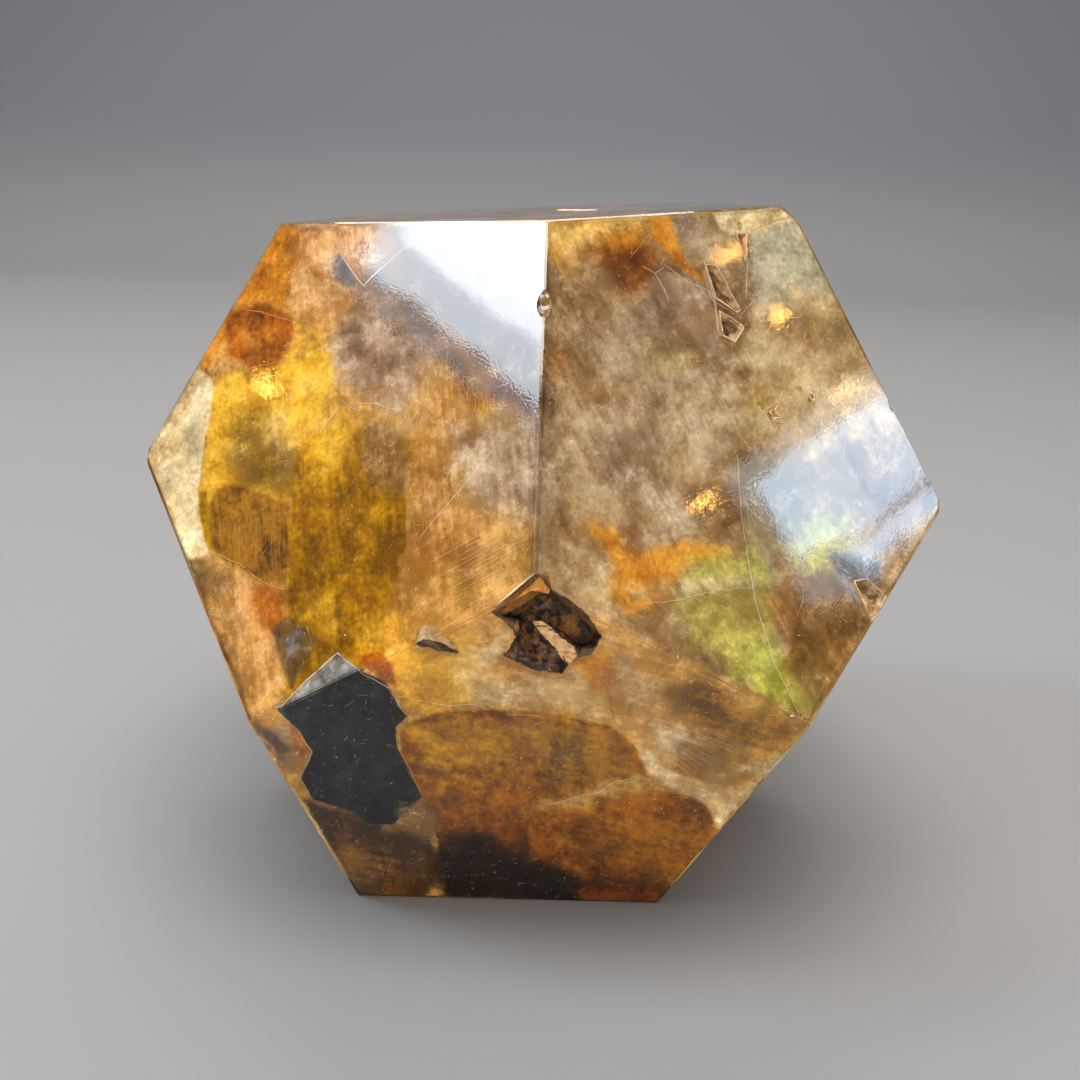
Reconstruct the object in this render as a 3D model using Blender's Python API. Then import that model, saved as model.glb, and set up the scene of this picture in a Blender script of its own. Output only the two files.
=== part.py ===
"""A hand-ground dodecahedron of iron-stained quartz that rests on one facet.

The stone is one solid. It is ground the way a lapidary does it, one flat facet after another from
a rough block, each a degree or two and a few tenths of a millimetre off the regular solid. Its
edges are dulled, one long edge has a narrow extra facet, and some corners are blunted. Crystal
shaped hollows, where the growing quartz left gaps, are then sunk into the facets, and small
shell-shaped chips are broken out of the edges.

Units are metres, with +Z up. The origin is on the resting facet, under the middle of the stone,
and the corner that stands nearest the viewer points to -Y.
"""

import math

import bmesh
import bpy
from mathutils import Matrix, Vector

MM = 0.001
EDGE = 28.0 * MM
INRADIUS = EDGE * math.sqrt(250.0 + 110.0 * math.sqrt(5.0)) / 20.0
MIDDLE = Vector((0.0, 0.0, INRADIUS))
STONE = "quartz_dodecahedron"

# The side facets of a dodecahedron that stands on a facet lean by this much, five up and five down.
LEAN = math.degrees(math.atan(0.5))

# Each facet: the azimuth and elevation that it faces, in degrees, and how far it stands proud of
# the regular solid, in millimetres. In each sum the second number is the cutter's own error.
FACETS = {
    "base": (0.0, -90.0, 0.0),
    "top": (166.0, 90.0 - 4.1, 0.0),
    "front_left": (-126.0 - 0.5, LEAN + 0.5, -0.6),
    "front_right": (-54.0 - 1.5, LEAN + 1.0, 0.4),
    "back_right": (18.0 + 1.0, LEAN - 1.0, -0.2),
    "back": (90.0 + 1.0, LEAN + 0.5, -0.4),
    "back_left": (162.0 + 2.0, LEAN, 0.9),
    "low_front": (-90.0 + 1.0, -LEAN - 1.0, 0.0),
    "low_right": (-18.0 - 1.0, -LEAN - 2.0, 0.0),
    "low_back_right": (54.0 - 1.0, -LEAN + 0.5, 0.3),
    "low_back_left": (126.0 + 0.5, -LEAN - 1.0, -0.3),
    "low_left": (198.0 - 1.5, -LEAN + 3.0, -0.4),
}

# Facets ground after the twelve, as the facets that meet there and how deep the corner or edge
# is cut back, in millimetres: one narrow strip along an edge, and the corners that got knocked.
BLUNTED = (
    (("front_right", "low_right"), 0.16),
    (("back", "low_back_left", "low_back_right"), 0.5),
    (("top", "front_right", "back_right"), 0.7),
    (("front_left", "back_left", "low_left"), 0.35),
    (("front_right", "back_right", "low_right"), 0.35),
    (("back_left", "low_left", "low_back_left"), 0.4),
)
DULLED_EDGE = 0.12 * MM

ROUGH_BLOCK = 3.0 * INRADIUS
CUTTER_STANDS_OUT = 1.2 * MM
CHIP_SUBDIVISIONS = 3
SAME_CORNER = 0.01 * MM

# A facet that faces up or down to within this many degrees has its own across along +X.
NEARLY_LEVEL = 10.0

# The large hollow opens right at the front corner. Its upper lobe is sunk straight back from the
# corner, along this facing, and its lower lobe from the low front facet. A blade of quartz about
# half a millimetre thick is left between them. Outlines are in millimetres, seen from outside,
# across and up from the corner or from the middle of the facet.
CORNER_FACETS = ("front_left", "front_right", "low_front")
CORNER_FACING = Vector((0.0, -0.95, 0.31))
CORNER_LOBE = (
    (-3.5, -1.7), (0.2, 1.4), (1.1, 0.3), (2.7, -0.5), (4.0, -1.5), (5.5, -3.2),
    (5.0, -4.3), (3.6, -4.8), (2.2, -3.6), (0.6, -2.5), (-1.5, -2.5),
)
CORNER_LOBE_DEPTH = 7.6
CORNER_LOBE_NARROWING = 0.66
CORNER_LOBE_SHIFT = (0.7, -0.7)

# Hollows in the facets: facet, outline, depth, how much narrower the floor is than the mouth, and
# how far the floor is shifted across and up, all in millimetres.
HOLLOWS = {
    "lower_lobe": (
        "low_front",
        ((-2.0, 20.6), (-0.4, 20.4), (0.1, 19.1), (1.2, 17.7), (2.2, 16.3), (2.7, 15.1),
         (2.2, 14.1), (-0.2, 14.6), (-2.6, 16.2), (-1.7, 18.4)),
        4.2, 0.62, (0.5, 0.9),
    ),
    "slit": (
        "low_front",
        ((-9.3, 17.4), (-8.6, 18.0), (-7.0, 17.7), (-5.4, 16.5), (-6.6, 16.6), (-7.8, 17.0)),
        1.5, 0.6, (0.1, 0.2),
    ),
    "twin_upper": (
        "front_right",
        ((2.1, 15.6), (3.4, 15.4), (5.1, 10.8), (4.5, 10.6), (2.4, 12.1)),
        3.0, 0.55, (0.4, 0.3),
    ),
    "twin_lower": (
        "front_right",
        ((2.4, 11.4), (4.7, 10.0), (5.0, 9.5), (3.3, 8.1), (2.1, 8.9)),
        2.6, 0.55, (0.2, 0.2),
    ),
    "tall_notch": ("front_right", ((6.6, 18.0), (8.0, 18.0), (6.9, 14.9)), 2.0, 0.5, (0.2, 0.6)),
    "star": (
        "front_right",
        ((5.1, 2.2), (5.8, 2.3), (6.6, 2.8), (6.1, 2.0), (6.6, 1.3), (5.8, 1.5), (5.4, 1.1),
         (5.4, 1.7)),
        1.2, 0.5, (0.0, 0.1),
    ),
    "seed": ("front_right", ((10.7, 3.7), (11.0, 2.9), (10.5, 2.5), (10.2, 3.1)), 1.0, 0.5, (0, 0)),
    "edge_crust": (
        "front_right",
        ((9.7, -12.9), (11.6, -13.0), (13.9, -15.2), (12.8, -17.2), (10.7, -17.4), (10.2, -14.9)),
        1.3, 0.6, (-0.3, 0.3),
    ),
    "back_gap": (
        "back",
        ((-9.0, 2.0), (-4.5, 5.5), (-1.0, 4.2), (-2.4, 0.6), (-5.8, -2.2), (-8.2, -0.8)),
        4.0, 0.55, (0.8, -0.4),
    ),
    "back_slit": ("back", ((4.0, 9.5), (5.2, 9.8), (8.8, 5.4), (7.9, 4.9)), 1.8, 0.55, (0.1, 0.0)),
    "right_gap": (
        "low_back_right",
        ((-6.5, 9.0), (-2.8, 10.6), (0.4, 7.0), (-1.6, 4.4), (-5.0, 5.6)),
        3.2, 0.55, (0.3, -0.5),
    ),
    "right_notch": ("back_right", ((-2.0, -4.0), (0.6, -3.2), (1.6, -8.4)), 2.4, 0.5, (0.0, -0.4)),
    "left_gap": (
        "back_left",
        ((-4.8, 7.2), (-2.6, 8.4), (0.4, 3.4), (-1.0, 1.6), (-3.6, 3.0)),
        2.8, 0.55, (0.4, -0.2),
    ),
    "left_seed": ("low_left", ((6.0, -5.0), (7.6, -4.2), (8.0, -6.8), (6.6, -7.2)), 1.4, 0.5, (0, 0)),
    "top_slit": ("top", ((3.0, 4.0), (4.6, 4.6), (7.8, 0.2), (6.4, -0.6)), 1.6, 0.55, (0.1, 0.0)),
}

# Chips: the two or three facets whose edge or corner is chipped, how far along the edge the chip
# is, from 0 at its first end to 1, the shell's radii along the edge and across it, and how deep
# it bites, in millimetres.
CHIPS = {
    "front_edge_chip": (("front_left", "front_right"), 0.24, (1.5, 1.2), 0.5),
    "right_edge_chip": (("front_right", "back_right"), 0.66, (0.9, 0.7), 0.3),
    "low_edge_chip": (("front_right", "low_front"), 0.91, (0.8, 0.6), 0.25),
    "left_spall": (("low_front", "low_left"), 0.14, (3.4, 2.4), 0.55),
    "left_chip": (("low_front", "low_left"), 0.56, (0.9, 0.7), 0.3),
    "crust_chip": (("front_right", "low_right"), 0.40, (1.2, 0.9), 0.4),
    "back_edge_chip": (("back", "back_right"), 0.35, (1.7, 1.3), 0.5),
    "back_low_chip": (("low_back_left", "low_back_right"), 0.6, (1.3, 1.1), 0.4),
    "top_edge_chip": (("top", "back"), 0.3, (1.1, 0.8), 0.3),
    "base_chip": (("low_right", "low_back_right"), 0.75, (1.4, 1.0), 0.4),
}


def facing(azimuth, elevation):
    """The unit vector that points to this azimuth and elevation, in degrees."""
    around, up = math.radians(azimuth), math.radians(elevation)
    return Vector((math.cos(around) * math.cos(up), math.sin(around) * math.cos(up), math.sin(up)))


def facet_plane(name):
    """A facet's outward normal, and its distance from the middle of the stone."""
    azimuth, elevation, proud = FACETS[name]
    return facing(azimuth, elevation), INRADIUS + proud * MM


def meeting_point(names):
    """Where three facets meet, as the solution of their three plane equations."""
    planes = [facet_plane(name) for name in names]
    rows = Matrix([normal for normal, distance in planes])
    return MIDDLE + rows.inverted() @ Vector([distance for normal, distance in planes])


def frame_at(origin, normal):
    """A frame seen from outside: +X across to the right, +Y up the surface, +Z out of it."""
    across = Vector((-normal.y, normal.x, 0.0))
    if abs(normal.z) > math.cos(math.radians(NEARLY_LEVEL)):
        across = Vector((1.0, 0.0, 0.0))
    across = (across - across.dot(normal) * normal).normalized()
    axes = Matrix((across, normal.cross(across), normal)).transposed()
    return Matrix.Translation(origin) @ axes.to_4x4()


def facet_frame(name):
    """The frame of a facet, from the foot of its perpendicular through the middle of the stone."""
    normal, distance = facet_plane(name)
    return frame_at(MIDDLE + normal * distance, normal)


def edge_ends(pair):
    """The two corners at the ends of the edge where a pair of facets meets, higher one first."""
    corners = []
    planes = [facet_plane(name) for name in FACETS]
    for third in FACETS:
        if third in pair:
            continue
        try:
            corner = meeting_point((*pair, third))
        except ValueError:
            continue
        from_middle = corner - MIDDLE
        if all(from_middle.dot(normal) <= distance + SAME_CORNER for normal, distance in planes):
            corners.append(corner)
    return sorted(corners, key=lambda corner: -corner.z)


def grind(stone, normal, point):
    """Grinds the stone flat: takes away what is outside the plane and closes the cut."""
    everything = stone.verts[:] + stone.edges[:] + stone.faces[:]
    cut = bmesh.ops.bisect_plane(
        stone, geom=everything, plane_co=point, plane_no=normal, clear_outer=True
    )
    rim = [part for part in cut["geom_cut"] if isinstance(part, bmesh.types.BMEdge)]
    bmesh.ops.contextual_create(stone, geom=rim)


def grind_facets(stone):
    """The twelve facets, then the narrow strip and the blunted corners."""
    for name in FACETS:
        normal, distance = facet_plane(name)
        grind(stone, normal, MIDDLE + normal * distance)
    for names, depth in BLUNTED:
        normal = sum((facet_plane(name)[0] for name in names), Vector()).normalized()
        tip = meeting_point(names) if len(names) == 3 else edge_ends(names)[0]
        grind(stone, normal, tip - normal * depth * MM)


def link(name, mesh):
    """An object for this mesh, in the scene."""
    made = bpy.data.objects.new(name, mesh)
    bpy.context.scene.collection.objects.link(made)
    return made


def polished_stone():
    """The ground stone, with its sharp edges dulled by the polish, before the hollows and chips."""
    stone = bmesh.new()
    bmesh.ops.create_cube(stone, size=ROUGH_BLOCK, matrix=Matrix.Translation(MIDDLE))
    grind_facets(stone)
    bmesh.ops.bevel(
        stone, geom=stone.edges[:], offset=DULLED_EDGE, offset_type="OFFSET", segments=1,
        profile=0.5, affect="EDGES", clamp_overlap=True,
    )
    bmesh.ops.recalc_face_normals(stone, faces=stone.faces)
    mesh = bpy.data.meshes.new(STONE)
    stone.to_mesh(mesh)
    stone.free()
    return link(STONE, mesh)


def hollow_cutter(name, frame, outline, depth, narrowing, shift):
    """A mould of a crystal-shaped hollow: the outline sunk into the stone to a smaller floor."""
    cutter = bmesh.new()
    middle = sum((Vector(point) for point in outline), Vector((0.0, 0.0))) / len(outline)
    mouth, floor = [], []
    for point in outline:
        away = Vector(point) - middle
        low = middle + away * narrowing + Vector(shift)
        mouth.append(cutter.verts.new((point[0] * MM, point[1] * MM, CUTTER_STANDS_OUT)))
        floor.append(cutter.verts.new((low.x * MM, low.y * MM, -depth * MM)))
    cutter.faces.new(mouth)
    cutter.faces.new(floor[::-1])
    for i in range(len(outline)):
        j = (i + 1) % len(outline)
        cutter.faces.new((mouth[i], floor[i], floor[j], mouth[j]))
    bmesh.ops.recalc_face_normals(cutter, faces=cutter.faces)
    mesh = bpy.data.meshes.new(name)
    cutter.to_mesh(mesh)
    cutter.free()
    made = link(name, mesh)
    made.matrix_world = frame
    return as_cutter(made)


def chip_cutter(name, pair, along, radii, depth):
    """A flattened ball over an edge, which leaves a shell-shaped break where it bites in."""
    first, last = edge_ends(pair)
    place = first.lerp(last, along)
    outward = (facet_plane(pair[0])[0] + facet_plane(pair[1])[0]).normalized()
    run = (last - first).normalized()
    long_radius, cross_radius = radii[0] * MM, radii[1] * MM
    ball = bmesh.new()
    bmesh.ops.create_icosphere(ball, subdivisions=CHIP_SUBDIVISIONS, radius=1.0)
    mesh = bpy.data.meshes.new(name)
    ball.to_mesh(mesh)
    ball.free()
    axes = Matrix((run, outward.cross(run), outward)).transposed().to_4x4()
    size = Matrix.Diagonal((long_radius, cross_radius, cross_radius, 1.0))
    mesh.transform(axes @ size)
    made = link(name, mesh)
    made.location = place + outward * (cross_radius - depth * MM)
    return as_cutter(made)


def as_cutter(made):
    """Marks a cutter, which shapes the stone and isn't part of it."""
    made.hide_render = True
    made.display_type = "WIRE"
    return made


def cut_away(stone, cutter):
    """Takes the cutter's shape out of the stone."""
    cut = stone.modifiers.new(cutter.name, "BOOLEAN")
    cut.operation = "DIFFERENCE"
    cut.solver = "EXACT"
    cut.object = cutter


def sink_hollows(stone):
    """The large hollow at the front corner, and the smaller ones in the facets."""
    corner = frame_at(meeting_point(CORNER_FACETS), CORNER_FACING.normalized())
    lobe = hollow_cutter(
        "corner_lobe", corner, CORNER_LOBE, CORNER_LOBE_DEPTH, CORNER_LOBE_NARROWING, CORNER_LOBE_SHIFT
    )
    cut_away(stone, lobe)
    for name, (facet, outline, depth, narrowing, shift) in HOLLOWS.items():
        cut_away(
            stone, hollow_cutter(name, facet_frame(facet), outline, depth, narrowing, shift)
        )


def break_chips(stone):
    """The chips along the edges."""
    for name, (pair, along, radii, depth) in CHIPS.items():
        cut_away(stone, chip_cutter(name, pair, along, radii, depth))


def quartz():
    """Clear quartz, stained honey brown by iron oxide."""
    material = bpy.data.materials.new("iron_stained_quartz")
    material.use_nodes = True
    surface = material.node_tree.nodes["Principled BSDF"]
    surface.inputs["Base Color"].default_value = (0.55, 0.34, 0.12, 1.0)
    surface.inputs["Metallic"].default_value = 0.0
    surface.inputs["Roughness"].default_value = 0.06
    surface.inputs["IOR"].default_value = 1.544
    surface.inputs["Transmission Weight"].default_value = 0.6
    return material


def main():
    for old in list(bpy.data.objects):
        bpy.data.objects.remove(old, do_unlink=True)
    stone = polished_stone()
    stone.data.materials.append(quartz())
    sink_hollows(stone)
    break_chips(stone)


main()
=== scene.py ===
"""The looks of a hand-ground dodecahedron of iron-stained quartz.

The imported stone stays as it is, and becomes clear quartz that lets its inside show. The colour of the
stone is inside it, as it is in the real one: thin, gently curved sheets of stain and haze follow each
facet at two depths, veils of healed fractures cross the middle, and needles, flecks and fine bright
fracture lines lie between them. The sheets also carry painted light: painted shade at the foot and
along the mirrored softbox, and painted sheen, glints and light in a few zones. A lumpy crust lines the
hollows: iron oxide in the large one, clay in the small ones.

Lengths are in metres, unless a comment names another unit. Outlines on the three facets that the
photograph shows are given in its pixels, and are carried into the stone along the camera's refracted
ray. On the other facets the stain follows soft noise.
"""

import itertools
import math
import random

import bmesh
import bpy
import numpy as np
from mathutils import Matrix, Vector, noise
from mathutils.bvhtree import BVHTree


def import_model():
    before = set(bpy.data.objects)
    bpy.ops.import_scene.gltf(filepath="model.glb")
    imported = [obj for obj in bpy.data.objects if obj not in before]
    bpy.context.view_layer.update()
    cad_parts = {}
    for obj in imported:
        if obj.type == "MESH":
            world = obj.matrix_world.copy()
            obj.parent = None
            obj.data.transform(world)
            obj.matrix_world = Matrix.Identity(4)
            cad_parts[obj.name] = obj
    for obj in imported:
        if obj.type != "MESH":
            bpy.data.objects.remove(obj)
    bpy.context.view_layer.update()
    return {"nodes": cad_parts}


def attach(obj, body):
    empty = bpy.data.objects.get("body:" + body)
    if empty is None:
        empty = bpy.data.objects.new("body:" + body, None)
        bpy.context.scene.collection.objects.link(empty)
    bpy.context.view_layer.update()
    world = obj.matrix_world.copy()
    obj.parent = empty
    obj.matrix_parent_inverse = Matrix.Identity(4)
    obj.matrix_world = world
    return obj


MM = 0.001
STONE = "quartz_dodecahedron"
QUARTZ_IOR = 1.544
MIDDLE = Vector((0.0, 0.0, 31.178)) * MM
SEED = 28
SLOPES = np.random.default_rng(SEED).normal(size=(256, 3))
SLOPES /= np.linalg.norm(SLOPES, axis=1)[:, None]

# The camera: where it stands, in millimetres, how it is turned, in degrees, and its lens.
CAMERA_AT = Vector((0.42, -127.26, 68.28)) * MM
YAW, PITCH, ROLL = -0.19, -16.76, 2.1
LENS, SENSOR, PICTURE = 43.44, 36.0, 1080.0
FOCAL_PIXELS = LENS / SENSOR * PICTURE

# Where each facet faces, in degrees of azimuth and elevation, to within a few degrees.
LEAN = 26.565
FACINGS = {
    "base": (0.0, -90.0), "top": (0.0, 90.0),
    "front_left": (-126.0, LEAN), "front_right": (-54.0, LEAN), "back_right": (18.0, LEAN),
    "back": (90.0, LEAN), "back_left": (162.0, LEAN),
    "low_front": (-90.0, -LEAN), "low_right": (-18.0, -LEAN), "low_back_right": (54.0, -LEAN),
    "low_back_left": (126.0, -LEAN), "low_left": (198.0, -LEAN),
}
SHOWN_FACETS = ("front_left", "front_right", "low_front")
FACING_TOLERANCE = math.cos(math.radians(12.0))
NEARLY_LEVEL = math.cos(math.radians(10.0))

# How far a point lies below the facets, at most, on chips and dulled edges. Hollows are deeper.
DEEPEST_CHIP = 0.62 * MM

# Paints for the stain, and for the painted shade, sheen and light that some zones carry: dark and light
# colour, how much of what is behind it hides, and how far its texture runs in fibres and not in clouds.
PAINTS = {
    "smoke": ((98, 74, 46), (190, 165, 130), 0.7, 0.3),
    "tan": ((140, 96, 34), (228, 182, 104), 0.66, 0.5),
    # Stain made lighter with painted sheen from the mirrored softbox.
    "rose": ((180, 120, 66), (255, 212, 150), 0.7, 0.7),
    "mauve": ((96, 76, 68), (192, 170, 154), 0.66, 0.5),
    "dusk": ((34, 26, 30), (104, 84, 84), 0.84, 0.6),
    "haze": ((128, 108, 86), (242, 228, 206), 0.68, 0.7),
    "beige": ((168, 142, 98), (240, 220, 174), 0.75, 0.3),
    "clear": ((156, 152, 126), (224, 217, 192), 0.82, 0.4),
    "honey": ((168, 118, 4), (250, 202, 66), 0.82, 0.3),
    "olive": ((100, 74, 4), (170, 132, 30), 0.8, 0.4),
    "gold": ((112, 74, 0), (202, 148, 4), 0.96, 0.4),
    "ochre": ((86, 48, 0), (180, 112, 0), 0.97, 0.3),
    "amber": ((186, 114, 10), (244, 178, 62), 0.85, 0.3),
    "copper": ((136, 88, 30), (224, 174, 112), 0.75, 1.0),
    "rust": ((82, 36, 0), (190, 106, 18), 0.92, 0.2),
    "umber": ((80, 50, 4), (162, 114, 30), 0.9, 1.0),
    "peat": ((34, 16, 0), (92, 56, 12), 0.95, 0.3),
    "bark": ((74, 50, 22), (158, 120, 72), 0.76, 0.5),
    "murk": ((34, 22, 14), (88, 68, 50), 0.7, 0.3),
    "moss": ((116, 116, 30), (212, 220, 104), 0.7, 0.3),
    "cream": ((196, 168, 116), (253, 240, 204), 0.93, 0.15),
    "lichen": ((104, 98, 72), (160, 150, 118), 0.78, 0.2),
    "ember": ((96, 34, 0), (150, 66, 6), 0.92, 0.2),
    # Painted shade: darkens the stone's foot, where little light reaches.
    "shade": ((2, 1, 0), (36, 12, 0), 1.0, 0.1),
    "plate": ((0, 1, 2), (42, 47, 50), 1.0, 0.1),
    # A pale paint: real pale crust in places, and painted sheen where it stands for reflections.
    "frost_and_sheen": ((88, 86, 90), (214, 212, 216), 0.97, 0.0),
}

# Marks over all the paints: pale wisps, thin veins, and glints, which are painted highlights.
WISP, VEIN, PAINTED_GLINT = (232, 214, 188), (246, 234, 212), (250, 232, 200)

# Sheets of stain below each facet: name, depth and relief in millimetres, how many steps its grid has
# on the shown facets and on the others, and how blurred its zones are.
SHEETS = (
    ("stain", 1.2, 0.6, 168, 64, 1.0),
    ("deep_stain", 5.5, 2.4, 44, 44, 1.7),
)

# How much of what it hides is left of stain that isn't opaque.
THIN_STAIN = 0.85

# How large a pixel of the photograph is on the stone, in millimetres.
PIXEL = 0.08
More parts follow.
